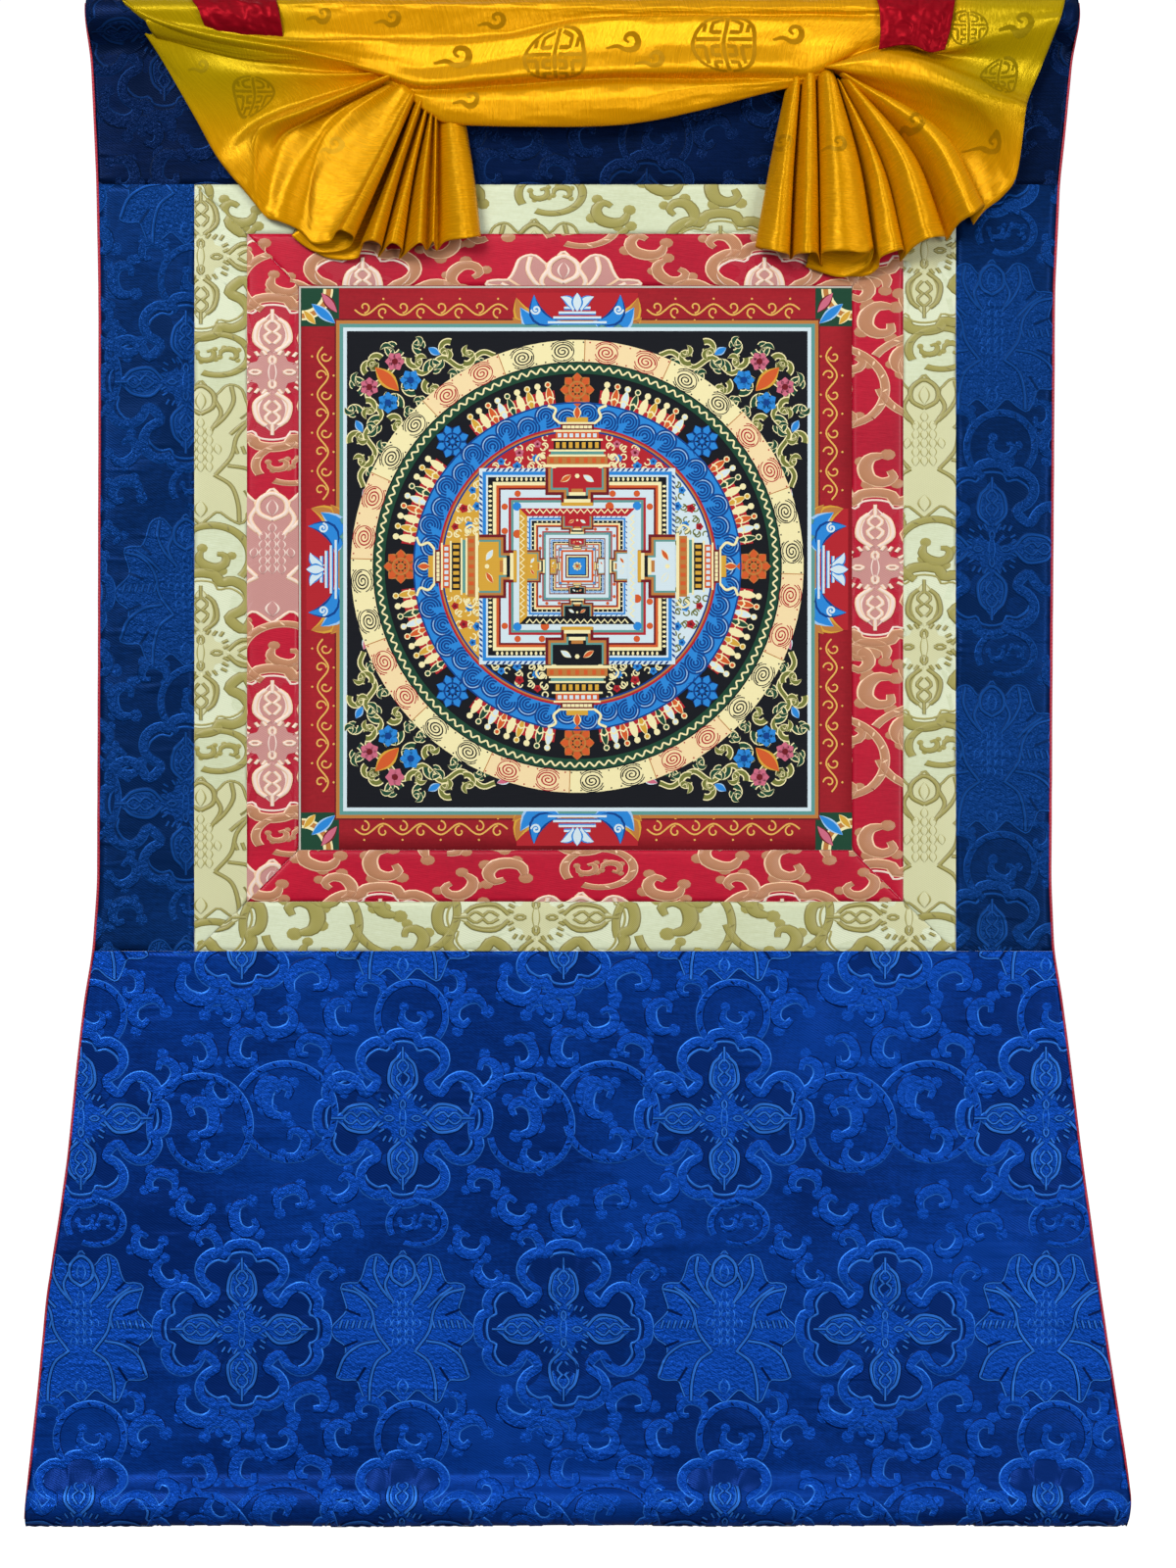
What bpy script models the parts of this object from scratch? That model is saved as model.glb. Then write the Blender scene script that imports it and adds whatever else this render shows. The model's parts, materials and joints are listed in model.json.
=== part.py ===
"""Hanging scroll: a square painted cloth in brocade borders and panels, with a gathered silk veil.

Metres, +Z up. The front faces -Y and +X is to the right. The origin is the middle of the top edge,
in the plane of the hung cloth. A place on the cloth is given by x and by its drop, the distance
below the top edge. Depth is the distance from the plane of the cloth towards the viewer (-Y).
"""
import math
from collections import namedtuple
from functools import partial

import bmesh
import bpy
import numpy as np

COLLECTION = "hanging_scroll"

# Driving dimensions ------------------------------------------------------------------------------
HEIGHT = 0.990
SEAM_GAP = 0.0003

PANEL_THICKNESS = 0.0012
ROLL_RADIUS = 0.0135
ROLL_END = 0.008
ROLL_END_DRAWN_IN = 0.55
PIPING_DIAMETER = 0.0022
PIPING_END = 0.0015
BILLOW = 0.0009
BILLOW_WIDTH = 0.310
BILLOW_DROP = 0.240
BILLOW_PHASE = 0.8
BILLOW_DOWNWARDS = 0.6

PAINTING_WIDTH = 0.359
PAINTING_HEIGHT = 0.366
PAINTING_CENTRE = (-0.0007, 0.3698)
RED_BORDER = 0.0335
CREAM_BORDER_SIDES = 0.0340
CREAM_BORDER_ENDS = 0.0320

VEIL_THICKNESS = 0.0012
RIBBON_THICKNESS = 0.0008
VEIL_TOP = 0.0015
VEIL_SEAT_GAP = 0.0010
VEIL_STANDOFF = VEIL_SEAT_GAP + VEIL_THICKNESS / 2

# Outer edges of the hanging, piping included, from the top edge down.
Level = namedtuple("Level", "drop left right")
OUTLINE = (
    Level(0.000, -0.3190, 0.3260),
    Level(0.010, -0.3200, 0.3285),
    Level(0.040, -0.3155, 0.3225),
    Level(0.082, -0.3135, 0.3185),
    Level(0.122, -0.3118, 0.3143),
    Level(0.191, -0.3105, 0.3112),
    Level(0.290, -0.3105, 0.3105),
    Level(0.383, -0.3108, 0.3099),
    Level(0.480, -0.3110, 0.3092),
    Level(0.573, -0.3112, 0.3086),
    Level(0.618, -0.3143, 0.3106),
    Level(0.651, -0.3200, 0.3162),
    Level(0.690, -0.3245, 0.3213),
    Level(0.748, -0.3302, 0.3283),
    Level(0.789, -0.3359, 0.3340),
    Level(0.841, -0.3442, 0.3410),
    Level(0.904, -0.3502, 0.3505),
    Level(0.948, -0.3550, 0.3575),
    Level(0.978, -0.3583, 0.3613),
    Level(0.990, -0.3588, 0.3580),
)

# Folds of the two fans of the veil. Bearing is in degrees, anticlockwise from +X as seen from the
# front. Reach is the length from the gather to the hem, and rim is the depth there. Roots are the
# depths at the gather, of the first and last fold.
Fold = namedtuple("Fold", "bearing reach rim")
Gather = namedtuple("Gather", "x drop first_root last_root")
LEFT_GATHER = Gather(-0.1035, 0.0622, 0.0212, 0.0140)
LEFT_FOLDS = (
    Fold(162.4, 0.198, 0.0160),
    Fold(166.5, 0.184, 0.0195),
    Fold(170.0, 0.173, 0.0180),
    Fold(175.5, 0.160, 0.0165),
    Fold(185.0, 0.147, 0.0095),
    Fold(193.0, 0.139, 0.0150),
    Fold(200.0, 0.135, 0.0070),
    Fold(212.0, 0.128, 0.0140),
    Fold(228.0, 0.119, 0.0080),
    Fold(241.0, 0.118, 0.0130),
    Fold(246.0, 0.117, 0.0060),
    Fold(251.0, 0.116, 0.0125),
    Fold(256.0, 0.114, 0.0058),
    Fold(261.0, 0.112, 0.0120),
    Fold(267.0, 0.109, 0.0055),
    Fold(273.0, 0.107, 0.0125),
    Fold(280.0, 0.105, 0.0060),
    Fold(288.0, 0.105, 0.0130),
    Fold(294.7, 0.103, 0.0070),
)
RIGHT_GATHER = Gather(0.1588, 0.0552, 0.0140, 0.0180)
RIGHT_FOLDS = (
    Fold(-112.0, 0.115, 0.0070),
    Fold(-105.7, 0.118, 0.0150),
    Fold(-100.2, 0.116, 0.0055),
    Fold(-95.0, 0.120, 0.0155),
    Fold(-90.5, 0.117, 0.0058),
    Fold(-82.5, 0.122, 0.0175),
    Fold(-74.5, 0.114, 0.0065),
    Fold(-69.4, 0.121, 0.0125),
    Fold(-64.5, 0.124, 0.0055),
    Fold(-58.5, 0.124, 0.0145),
    Fold(-52.5, 0.127, 0.0058),
    Fold(-45.0, 0.131, 0.0155),
    Fold(-38.5, 0.130, 0.0055),
    Fold(-31.0, 0.141, 0.0080),
    Fold(-19.5, 0.138, 0.0130),
    Fold(-11.2, 0.135, 0.0170),
    Fold(1.0, 0.144, 0.0105),
    Fold(10.5, 0.153, 0.0165),
    Fold(18.8, 0.165, 0.0160),
)
FOLD_GROWTH = 1.45
# How far the fans keep off the top roll: the left ribbon passes behind the left fan.
Clearance = namedtuple("Clearance", "x standoff")
LEFT_FAN_CLEARANCE = (Clearance(-0.290, 0.0032), Clearance(-0.262, 0.0060))
RIGHT_FAN_CLEARANCE = (Clearance(0.160, 0.0032), Clearance(0.310, 0.0032))
GATHER_RADIUS = 0.009
GATHER_KNOT = (0.0120, 0.0060, 0.0110)
KNOT_DEPTH = 0.0172

# Lower edge of the veil's upper part, which is a swag between the two gathers.
SwagEdge = namedtuple("SwagEdge", "x drop")
SWAG_EDGE = (
    SwagEdge(-0.2930, 0.0090),
    SwagEdge(-0.2000, 0.0400),
    SwagEdge(-0.1035, 0.0680),
    SwagEdge(-0.0780, 0.0855),
    SwagEdge(0.0330, 0.0845),
    SwagEdge(0.0775, 0.0765),
    SwagEdge(0.1314, 0.0640),
    SwagEdge(0.1588, 0.0590),
    SwagEdge(0.2400, 0.0320),
    SwagEdge(0.3140, 0.0070),
)
# Folds along the swag at its middle: how far down its width each lies, and its depth.
SwagFold = namedtuple("SwagFold", "share depth")
SWAG_FOLDS = (
    SwagFold(0.00, 0.0060),
    SwagFold(0.02, 0.0090),
    SwagFold(0.06, 0.0115),
    SwagFold(0.11, 0.0140),
    SwagFold(0.20, 0.0155),
    SwagFold(0.34, 0.0180),
    SwagFold(0.50, 0.0200),
    SwagFold(0.63, 0.0225),
    SwagFold(0.68, 0.0165),
    SwagFold(0.74, 0.0185),
    SwagFold(0.84, 0.0215),
    SwagFold(0.93, 0.0200),
    SwagFold(1.00, 0.0160),
)
GATHER_SPREAD = 0.030

# Corners of the two ribbons, by x, the drop of the foot's corners, and how far off the roll the
# ribbon lies at its top and foot: the left one is tucked behind the fan, the right one lies over it.
Strip = namedtuple(
    "Strip", "top_left top_right foot_left foot_right drop_left drop_right off_top off_foot")
LEFT_RIBBON = Strip(-0.2496, -0.1937, -0.2390, -0.1860, 0.0300, 0.0420, 0.0029, 0.0029)
RIGHT_RIBBON = Strip(0.1937, 0.2445, 0.1960, 0.2405, 0.0350, 0.0405, 0.0029, 0.0063)
RIBBON_TOP = 0.0005
RIBBON_CRUMPLE = 0.0005
CRUMPLES_ACROSS = 1.3
CRUMPLES_DOWN = 0.9

# Furthest that the rows and columns of each cloth lie apart, in metres or as a share of its length.
TOP_PANEL_STEP = 0.09
BOTTOM_PANEL_STEP = 0.06
BORDER_STEP = 0.11
PAINTING_ACROSS_STEP = 0.10
PAINTING_DOWN_STEP = 0.040
SWAG_STEP = 0.040
RIBBON_ACROSS_STEP = 0.125
RIBBON_DOWN_STEP = 0.10
LEAST_LEVEL_STEP = 0.003
ROLL_TURNS = (14, 35, 60, 90, 120, 145, 166, 176)
FOLD_PARTS = 3
FOLD_SHARES = (0.00, 0.12, 0.27, 0.45, 0.64, 0.83, 1.00)
KNOT_SEGMENTS = 14
KNOT_RINGS = 8

Finish = namedtuple("Finish", "colour roughness")
BLUE = Finish((0.008, 0.035, 0.170), 0.45)
CREAM = Finish((0.700, 0.670, 0.380), 0.40)
RED = Finish((0.500, 0.012, 0.040), 0.40)
PAINTED = Finish((0.330, 0.050, 0.035), 0.60)
YELLOW = Finish((0.900, 0.420, 0.010), 0.30)
CRIMSON = Finish((0.330, 0.006, 0.022), 0.30)


def outline(side, drop):
    """X of the hanging's outer edge at a drop, on the side "left" or "right"."""
    return float(np.interp(drop, [row.drop for row in OUTLINE], [getattr(row, side) for row in OUTLINE]))


def cloth_edge(side, drop):
    """X of the panels' edge at a drop, just inside the piping."""
    inset = PIPING_DIAMETER + SEAM_GAP
    return outline(side, drop) + (inset if side == "left" else -inset)


def billow(x, drop):
    """Depth of the hung cloth out of its plane: two slow waves that die out at the rolls."""
    slack = math.sin(math.pi * drop / HEIGHT) ** 2
    sideways = math.sin(2 * math.pi * x / BILLOW_WIDTH + BILLOW_PHASE)
    downwards = math.sin(2 * math.pi * drop / BILLOW_DROP)
    return BILLOW * slack * (sideways + BILLOW_DOWNWARDS * downwards)


def over_roll(drop, standoff):
    """Depth of a sheet that lies a standoff off the top roll, and hangs straight below its middle."""
    radius = ROLL_RADIUS + standoff
    rise = max(ROLL_RADIUS - drop, 0.0)
    return math.sqrt(max(radius ** 2 - rise ** 2, 0.0))


def steps(start, end, most):
    """Evenly spaced numbers from start to end, no further apart than most."""
    count = max(1, math.ceil(abs(end - start) / most))
    return list(np.linspace(start, end, count + 1))


def material(name, finish):
    """Principled material of one colour."""
    made = bpy.data.materials.new(name)
    made.use_nodes = True
    shader = made.node_tree.nodes["Principled BSDF"]
    shader.inputs["Base Color"].default_value = (*finish.colour, 1.0)
    shader.inputs["Roughness"].default_value = finish.roughness
    shader.inputs["Metallic"].default_value = 0.0
    made.diffuse_color = (*finish.colour, 1.0)
    return made


def new_object(name, mesh, collection, finish):
    """Object in a collection, with a material of its own."""
    made = bpy.data.objects.new(name, mesh)
    made.data.materials.append(material(name + "_cloth", finish))
    collection.objects.link(made)
    return made


def cloth(name, across, down, place, thickness, collection, finish, fatness=None):
    """Sheet of cloth: a grid with a vertex for each pair of across and down, thickened by Solidify.

    place gives the point of a pair. fatness, where it is given, is the share of the thickness there.
    """
    grid = bmesh.new()
    last_column, last_row = len(across) - 1, len(down) - 1
    bmesh.ops.create_grid(grid, x_segments=last_column, y_segments=last_row, size=0.5)
    shares = []
    for vertex in grid.verts:
        column = round((vertex.co.x + 0.5) * last_column)
        row = round((0.5 - vertex.co.y) * last_row)
        vertex.co = place(across[column], down[row])
        shares.append(fatness(across[column], down[row]) if fatness else 1.0)
    mesh = bpy.data.meshes.new(name)
    grid.to_mesh(mesh)
    grid.free()
    sheet = new_object(name, mesh, collection, finish)
    solid = sheet.modifiers.new("thickness", "SOLIDIFY")
    solid.thickness = thickness
    solid.offset = 0.0
    if fatness:
        group = sheet.vertex_groups.new(name="fatness")
        for index, share in enumerate(shares):
            group.add([index], share, "REPLACE")
        solid.vertex_group = group.name
    return sheet


def levels_between(start, end):
    """Drops of the outline's rows that lie between two drops, with both of these as the ends."""
    low, high = start + LEAST_LEVEL_STEP, end - LEAST_LEVEL_STEP
    return [start, *[row.drop for row in OUTLINE if low < row.drop < high], end]


def panel_place(left, right):
    """Place function of a panel whose left and right edges are functions of the drop."""
    def place(share, drop):
        x = (1 - share) * left(drop) + share * right(drop)
        return (x, -billow(x, drop), -drop)
    return place


def roll_levels():
    """Drops from the edge of a roll to where its sheet leaves it, closer at the edge."""
    return [ROLL_RADIUS * (1 - math.cos(math.radians(turn))) for turn in ROLL_TURNS]


def roll_fatness(edge_of):
    """Fatness of a panel with a roll: the roll's round section, drawn in at its two ends."""
    def fatness(share, drop):
        off = edge_of(drop) - ROLL_RADIUS
        section = math.sqrt(max(ROLL_RADIUS ** 2 - off ** 2, 0.0))
        width = cloth_edge("right", drop) - cloth_edge("left", drop)
        inward = min(min(share, 1 - share) * width / ROLL_END, 1.0)
        section *= math.sqrt(1 - ROLL_END_DRAWN_IN * (1 - inward) ** 2)
        return max(section, PANEL_THICKNESS / 2) / ROLL_RADIUS
    return fatness


def end_columns(inner_most):
    """Shares across a panel, with extra columns where the roll's ends are drawn in."""
    end = ROLL_END / (2 * abs(OUTLINE[-1].left))
    return [0.0, end / 3, end, *steps(end, 1 - end, inner_most)[1:-1], 1 - end, 1 - end / 3, 1.0]


def panels(collection, seam_top, seam_foot, border_left, border_right):
    """The four dark brocade panels: the top and bottom ones end in a roll."""
    half = SEAM_GAP / 2
    left = partial(cloth_edge, "left")
    right = partial(cloth_edge, "right")
    whole = panel_place(left, right)

    top_levels = roll_levels() + levels_between(OUTLINE[2].drop, seam_top - half)
    cloth("top_panel", end_columns(TOP_PANEL_STEP), top_levels, whole, 2 * ROLL_RADIUS, collection,
          BLUE, roll_fatness(lambda drop: drop))

    foot_roll = [HEIGHT - drop for drop in reversed(roll_levels())]
    foot_levels = levels_between(seam_foot + half, OUTLINE[-3].drop) + foot_roll
    cloth("bottom_panel", end_columns(BOTTOM_PANEL_STEP), foot_levels, whole, 2 * ROLL_RADIUS,
          collection, BLUE, roll_fatness(lambda drop: HEIGHT - drop))

    side_levels = levels_between(seam_top + half, seam_foot - half)
    left_place = panel_place(left, lambda drop: border_left - half)
    right_place = panel_place(lambda drop: border_right + half, right)
    for name, place in (("left_panel", left_place), ("right_panel", right_place)):
        cloth(name, [0.0, 0.5, 1.0], side_levels, place, PANEL_THICKNESS, collection, BLUE)


def frame_place(outer, inner, side):
    """Place function of one mitred strip of a border between two rectangles.

    A rectangle is (left, right, upper drop, lower drop). The first parameter runs along the strip,
    the second across it, from its outer to its inner edge.
    """
    half = SEAM_GAP / 2

    def place(along, across):
        left, right, upper, lower = [(1 - across) * o + across * i for o, i in zip(outer, inner)]
        inset = half * (1 - 2 * across)
        mitre = half * math.sqrt(2) + inset
        if side in ("top", "bottom"):
            x = left + mitre + along * (right - left - 2 * mitre)
            drop = upper + inset if side == "top" else lower - inset
        else:
            drop = upper + mitre + along * (lower - upper - 2 * mitre)
            x = left + inset if side == "left" else right - inset
        return (x, -billow(x, drop), -drop)
    return place


def border(collection, name, outer, inner, finish):
    """Border of four mitred strips, each its own piece."""
    along = steps(0.0, 1.0, BORDER_STEP)
    for side in ("top", "bottom", "left", "right"):
        cloth(f"{name}_{side}", along, [0.0, 1.0], frame_place(outer, inner, side),
              PANEL_THICKNESS, collection, finish)


def painting(collection, edges):
    """The painted cloth in the middle."""
    left, right, upper, lower = edges
    half = SEAM_GAP / 2

    def place(share, drop):
        x = (1 - share) * (left + half) + share * (right - half)
        return (x, -billow(x, drop), -drop)
    levels = steps(upper + half, lower - half, PAINTING_DOWN_STEP)
    cloth("painting", steps(0.0, 1.0, PAINTING_ACROSS_STEP), levels, place, PANEL_THICKNESS,
          collection, PAINTED)


def piping(collection, side):
    """Thin red piping along one outer edge, a bevelled curve that follows the outline."""
    route = bpy.data.curves.new(side + "_piping", "CURVE")
    route.dimensions = "3D"
    route.bevel_depth = PIPING_DIAMETER / 2
    route.bevel_resolution = 2
    route.use_fill_caps = True
    levels = [PIPING_END, *levels_between(OUTLINE[1].drop, HEIGHT - PIPING_END)]
    spline = route.splines.new("POLY")
    spline.points.add(len(levels) - 1)
    inset = PIPING_DIAMETER / 2 * (1 if side == "left" else -1)
    for point, drop in zip(spline.points, levels):
        x = outline(side, drop) + inset
        point.co = (x, -billow(x, drop), -drop, 1.0)
    new_object(side + "_piping", route, collection, RED)


def between(folds):
    """Rows between the given folds, so that each fold is round: depth turns over as a cosine."""
    rows = []
    for first, second in zip(folds, folds[1:]):
        for part in range(FOLD_PARTS):
            share = part / FOLD_PARTS
            turned = (1 - math.cos(math.pi * share)) / 2
            bearing = first.bearing + share * (second.bearing - first.bearing)
            reach = first.reach + share * (second.reach - first.reach)
            rim = first.rim + turned * (second.rim - first.rim)
            rows.append(Fold(bearing, reach, rim))
    return [*rows, folds[-1]]


def fan(name, gather, folds, clearance, collection):
    """Fan of folds that spreads from a gather: each point lies on its fold's line, share of the way.

    The clearance rows give how far from the roll the cloth keeps.
    """
    rows = between(folds)
    spread = folds[-1].bearing - folds[0].bearing
    fan_clearance = [row.x for row in clearance], [row.standoff for row in clearance]

    def place(index, share):
        fold = rows[index]
        length = GATHER_RADIUS + share * (fold.reach - GATHER_RADIUS)
        x = gather.x + length * math.cos(math.radians(fold.bearing))
        drop = gather.drop - length * math.sin(math.radians(fold.bearing))
        turned = (fold.bearing - folds[0].bearing) / spread
        root = (1 - turned) * gather.first_root + turned * gather.last_root
        depth = root + share ** FOLD_GROWTH * (fold.rim - root)
        if drop < 2 * ROLL_RADIUS:
            depth = max(depth, over_roll(drop, float(np.interp(x, *fan_clearance))))
        return (x, -depth, -drop)
    return cloth(name, range(len(rows)), FOLD_SHARES, place, VEIL_THICKNESS, collection, YELLOW)


def swag(name, collection):
    """Upper part of the veil: it hangs from the top roll, and swags between the two gathers."""
    shares = [fold.share for fold in SWAG_FOLDS]
    depths = [fold.depth for fold in SWAG_FOLDS]

    def openness(x):
        near = min(abs(x - LEFT_GATHER.x), abs(x - RIGHT_GATHER.x)) / GATHER_SPREAD
        inside = LEFT_GATHER.x < x < RIGHT_GATHER.x
        return math.sin(min(near, 1.0) * math.pi / 2) if inside else 0.0

    def place(x, share):
        foot = float(np.interp(x, [row.x for row in SWAG_EDGE], [row.drop for row in SWAG_EDGE]))
        drop = VEIL_TOP + share * (foot - VEIL_TOP)
        plain = over_roll(drop, VEIL_STANDOFF)
        swagged = max(float(np.interp(share, shares, depths)), plain)
        return (x, -(plain + openness(x) * (swagged - plain)), -drop)
    columns = []
    for first, second in zip(SWAG_EDGE, SWAG_EDGE[1:]):
        columns += steps(first.x, second.x, SWAG_STEP)[:-1]
    columns.append(SWAG_EDGE[-1].x)
    return cloth(name, columns, shares, place, VEIL_THICKNESS, collection, YELLOW)


def knot(name, gather, collection):
    """Bunched cloth where the folds meet: an ellipsoid that the folds and the swag run into."""
    ball = bmesh.new()
    bmesh.ops.create_uvsphere(ball, u_segments=KNOT_SEGMENTS, v_segments=KNOT_RINGS, radius=1.0)
    bmesh.ops.scale(ball, vec=GATHER_KNOT, verts=ball.verts)
    bmesh.ops.translate(ball, vec=(gather.x, -KNOT_DEPTH, -gather.drop), verts=ball.verts)
    mesh = bpy.data.meshes.new(name)
    ball.to_mesh(mesh)
    ball.free()
    return new_object(name, mesh, collection, YELLOW)


def veil(collection, cutters):
    """Yellow silk veil, one solid: the swag, with the two fans and their knots joined to it."""
    cover = swag("veil", collection)
    joined = [
        fan("left_fan", LEFT_GATHER, LEFT_FOLDS, LEFT_FAN_CLEARANCE, cutters),
        fan("right_fan", RIGHT_GATHER, RIGHT_FOLDS, RIGHT_FAN_CLEARANCE, cutters),
        knot("left_knot", LEFT_GATHER, cutters),
        knot("right_knot", RIGHT_GATHER, cutters),
    ]
    for piece in joined:
        piece.hide_render = True
        piece.display_type = "WIRE"
        union = cover.modifiers.new(piece.name, "BOOLEAN")
        union.operation = "UNION"
        union.solver = "EXACT"
        union.object = piece


def ribbon(name, strip, collection):
    """Short crimson ribbon that hangs from the top roll over the veil, slightly crumpled."""
    def place(across, down):
        left = (1 - down) * strip.top_left + down * strip.foot_left
        right = (1 - down) * strip.top_right + down * strip.foot_right
        x = (1 - across) * left + across * right
        foot = (1 - across) * strip.drop_left + across * strip.drop_right
        drop = RIBBON_TOP + down * (foot - RIBBON_TOP)
        turns = CRUMPLES_ACROSS * across + CRUMPLES_DOWN * down
        wave = math.sin(2 * math.pi * turns) * math.sin(math.pi * down)
        standoff = strip.off_top + math.sin(math.pi / 2 * down) * (strip.off_foot - strip.off_top)
        depth = over_roll(drop, standoff) + RIBBON_CRUMPLE * (1 + wave)
        return (x, -depth, -drop)
    cloth(name, steps(0.0, 1.0, RIBBON_ACROSS_STEP), steps(0.0, 1.0, RIBBON_DOWN_STEP), place,
          RIBBON_THICKNESS, collection, CRIMSON)


def grown(edges, sides, ends):
    """Rectangle grown by a border's width at its sides and at its upper and lower ends."""
    left, right, upper, lower = edges
    return (left - sides, right + sides, upper - ends, lower + ends)


def main():
    """Clear the scene and build the hanging."""
    for old in list(bpy.data.objects):
        bpy.data.objects.remove(old)
    parts = bpy.data.collections.new(COLLECTION)
    cutters = bpy.data.collections.new("joined_pieces")
    for collection in (parts, cutters):
        bpy.context.scene.collection.children.link(collection)

    centre_x, centre_drop = PAINTING_CENTRE
    picture = (centre_x - PAINTING_WIDTH / 2, centre_x + PAINTING_WIDTH / 2,
               centre_drop - PAINTING_HEIGHT / 2, centre_drop + PAINTING_HEIGHT / 2)
    red = grown(picture, RED_BORDER, RED_BORDER)
    cream = grown(red, CREAM_BORDER_SIDES, CREAM_BORDER_ENDS)

    panels(parts, seam_top=cream[2], seam_foot=cream[3], border_left=cream[0], border_right=cream[1])
    border(parts, "cream_border", cream, red, CREAM)
    border(parts, "red_border", red, picture, RED)
    painting(parts, picture)
    for side in ("left", "right"):
        piping(parts, side)
    veil(parts, cutters)
    ribbon("left_ribbon", LEFT_RIBBON, parts)
    ribbon("right_ribbon", RIGHT_RIBBON, parts)


if __name__ == "__main__":
    main()
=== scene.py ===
"""Looks of a hanging scroll: brocade panels and borders, a painted cloth, a silk veil and ribbons.

Metres, +Z up; the front faces -Y and +X is to the right. A place on the cloth is given by x and by
its drop, the distance below the top edge. Depth is the distance towards the viewer (-Y). Figures
are drawn flat and laid on the cloth as raised threads or paint, each a little above the last.
"""
import functools
import json
import logging
import math
import sys
from dataclasses import dataclass
from enum import Enum, IntEnum
from typing import Callable, Iterable, Iterator, Sequence

import bpy
import numpy as np
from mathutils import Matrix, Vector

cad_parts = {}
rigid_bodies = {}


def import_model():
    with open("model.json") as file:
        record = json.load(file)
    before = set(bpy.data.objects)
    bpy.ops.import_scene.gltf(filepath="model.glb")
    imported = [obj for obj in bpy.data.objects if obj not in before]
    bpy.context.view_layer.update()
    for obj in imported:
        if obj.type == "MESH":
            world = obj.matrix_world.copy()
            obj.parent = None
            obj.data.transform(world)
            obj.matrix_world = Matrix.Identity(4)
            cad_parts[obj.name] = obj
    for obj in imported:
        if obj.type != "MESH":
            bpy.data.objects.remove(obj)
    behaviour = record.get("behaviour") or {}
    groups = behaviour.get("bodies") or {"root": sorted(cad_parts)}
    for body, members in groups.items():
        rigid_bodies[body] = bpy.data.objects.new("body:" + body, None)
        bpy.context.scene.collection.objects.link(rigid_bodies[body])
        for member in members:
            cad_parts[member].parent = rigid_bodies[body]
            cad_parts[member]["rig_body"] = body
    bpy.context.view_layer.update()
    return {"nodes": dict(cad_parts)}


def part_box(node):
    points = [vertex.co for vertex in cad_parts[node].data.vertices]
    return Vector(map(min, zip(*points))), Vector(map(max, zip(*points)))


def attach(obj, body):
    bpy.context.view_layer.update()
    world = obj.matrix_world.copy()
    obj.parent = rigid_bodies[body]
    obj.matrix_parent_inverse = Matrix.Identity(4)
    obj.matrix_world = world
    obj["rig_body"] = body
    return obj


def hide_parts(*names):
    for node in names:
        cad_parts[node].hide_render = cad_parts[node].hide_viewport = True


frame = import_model()

log = logging.getLogger("hanging_scroll")

Array = np.ndarray
Socket = bpy.types.NodeSocket
Point = tuple[float, float]
Edge = Callable[[Array], Array]  # x of an edge at each drop

MM = 0.001
STEP = 0.635 * MM  # one unit of a drawing, which is one pixel of the photograph
PHOTO_MIDDLE = 588  # column of the photograph that lies on x = 0
PHOTO_TOP = -3  # row of the photograph that lies on the top edge
HEIGHT = 0.990
SHEET = 1.2 * MM
SEAM = 0.03 * MM
CLOTH_MAP = "Cloth"
# Vertex attribute of painted bounce light: how far the veil faces away from the key lamp
TURNED = "Turned"
# Vertex attribute of an olive tint towards the veil's two upper corners
THIN = "Thin"


def spot(column: float, row: float) -> Point:
    """X and drop of a place of the photograph."""
    return (column - PHOTO_MIDDLE) * STEP, (row - PHOTO_TOP) * STEP


# Numbers ------------------------------------------------------------------------------------------
def smooth(value: Array | float, start: float, end: float) -> Array:
    """Soft step: nought before start, one after end, and 3t^2 - 2t^3 between them."""
    share = np.clip((np.asarray(value, float) - start) / (end - start), 0.0, 1.0)
    return share * share * (3 - 2 * share)


def spline(points: Array, parts: int, closed: bool = False) -> Array:
    """Curve through points: on each stretch, a cubic whose slopes are those of its neighbours.

    Args:
        points: Rows of numbers of any width.
        parts: Samples to each stretch.
        closed: Whether the last point joins the first.

    Returns:
        The sampled rows, with the last point among them.
    """
    rows = np.asarray(points, float)
    if closed:
        padded = np.vstack([rows[-1:], rows, rows[:2]])
    else:
        padded = np.vstack([2 * rows[0] - rows[1], rows, 2 * rows[-1] - rows[-2]])
    before, start, end, after = padded[:-3], padded[1:-2], padded[2:-1], padded[3:]
    t = (np.arange(parts) / parts)[:, None, None]
    bent = 0.5 * (
        2 * start
        + (end - before) * t
        + (2 * before - 5 * start + 4 * end - after) * t**2
        + (3 * start - before - 3 * end + after) * t**3
    )
    return np.vstack([bent.transpose(1, 0, 2).reshape(-1, rows.shape[1]), end[-1:]])


def run_of(path: Array) -> Array:
    """Distance along a path from its first point to each."""
    return np.concatenate([[0.0], np.cumsum(np.linalg.norm(np.diff(path, axis=0), axis=1))])


def spaced(path: Array, count: int) -> Array:
    """The same path as a count of points at even distances, with both ends kept."""
    run = run_of(path)
    stops = np.linspace(0.0, run[-1], count)
    return np.stack([np.interp(stops, run, column) for column in path.T], 1)


def even(path: Array, spacing: float) -> Array:
    """The same path as points at even distances, close to the spacing."""
    return spaced(path, max(3, math.ceil(run_of(path)[-1] / spacing) + 1))


def lattice_noise(first: Array, second: Array, seed: int) -> Array:
    """Smooth noise from -1 to 1: random values at whole numbers, eased between them both ways.

    Args:
        first: First parameter, in cells.
        second: Second parameter, in cells.
        seed: Picks the random values.

    Returns:
        One value for each place.
    """
    values = np.random.default_rng(seed).uniform(-1, 1, (64, 64))
    low_first, low_second = np.floor(first).astype(int), np.floor(second).astype(int)
    ease_first = smooth(first - low_first, 0, 1)
    ease_second = smooth(second - low_second, 0, 1)
    i, j = low_first % 64, low_second % 64
    k, m = (low_first + 1) % 64, (low_second + 1) % 64
    near = values[i, j] * (1 - ease_second) + values[i, m] * ease_second
    far = values[k, j] * (1 - ease_second) + values[k, m] * ease_second
    return near * (1 - ease_first) + far * ease_first


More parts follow.
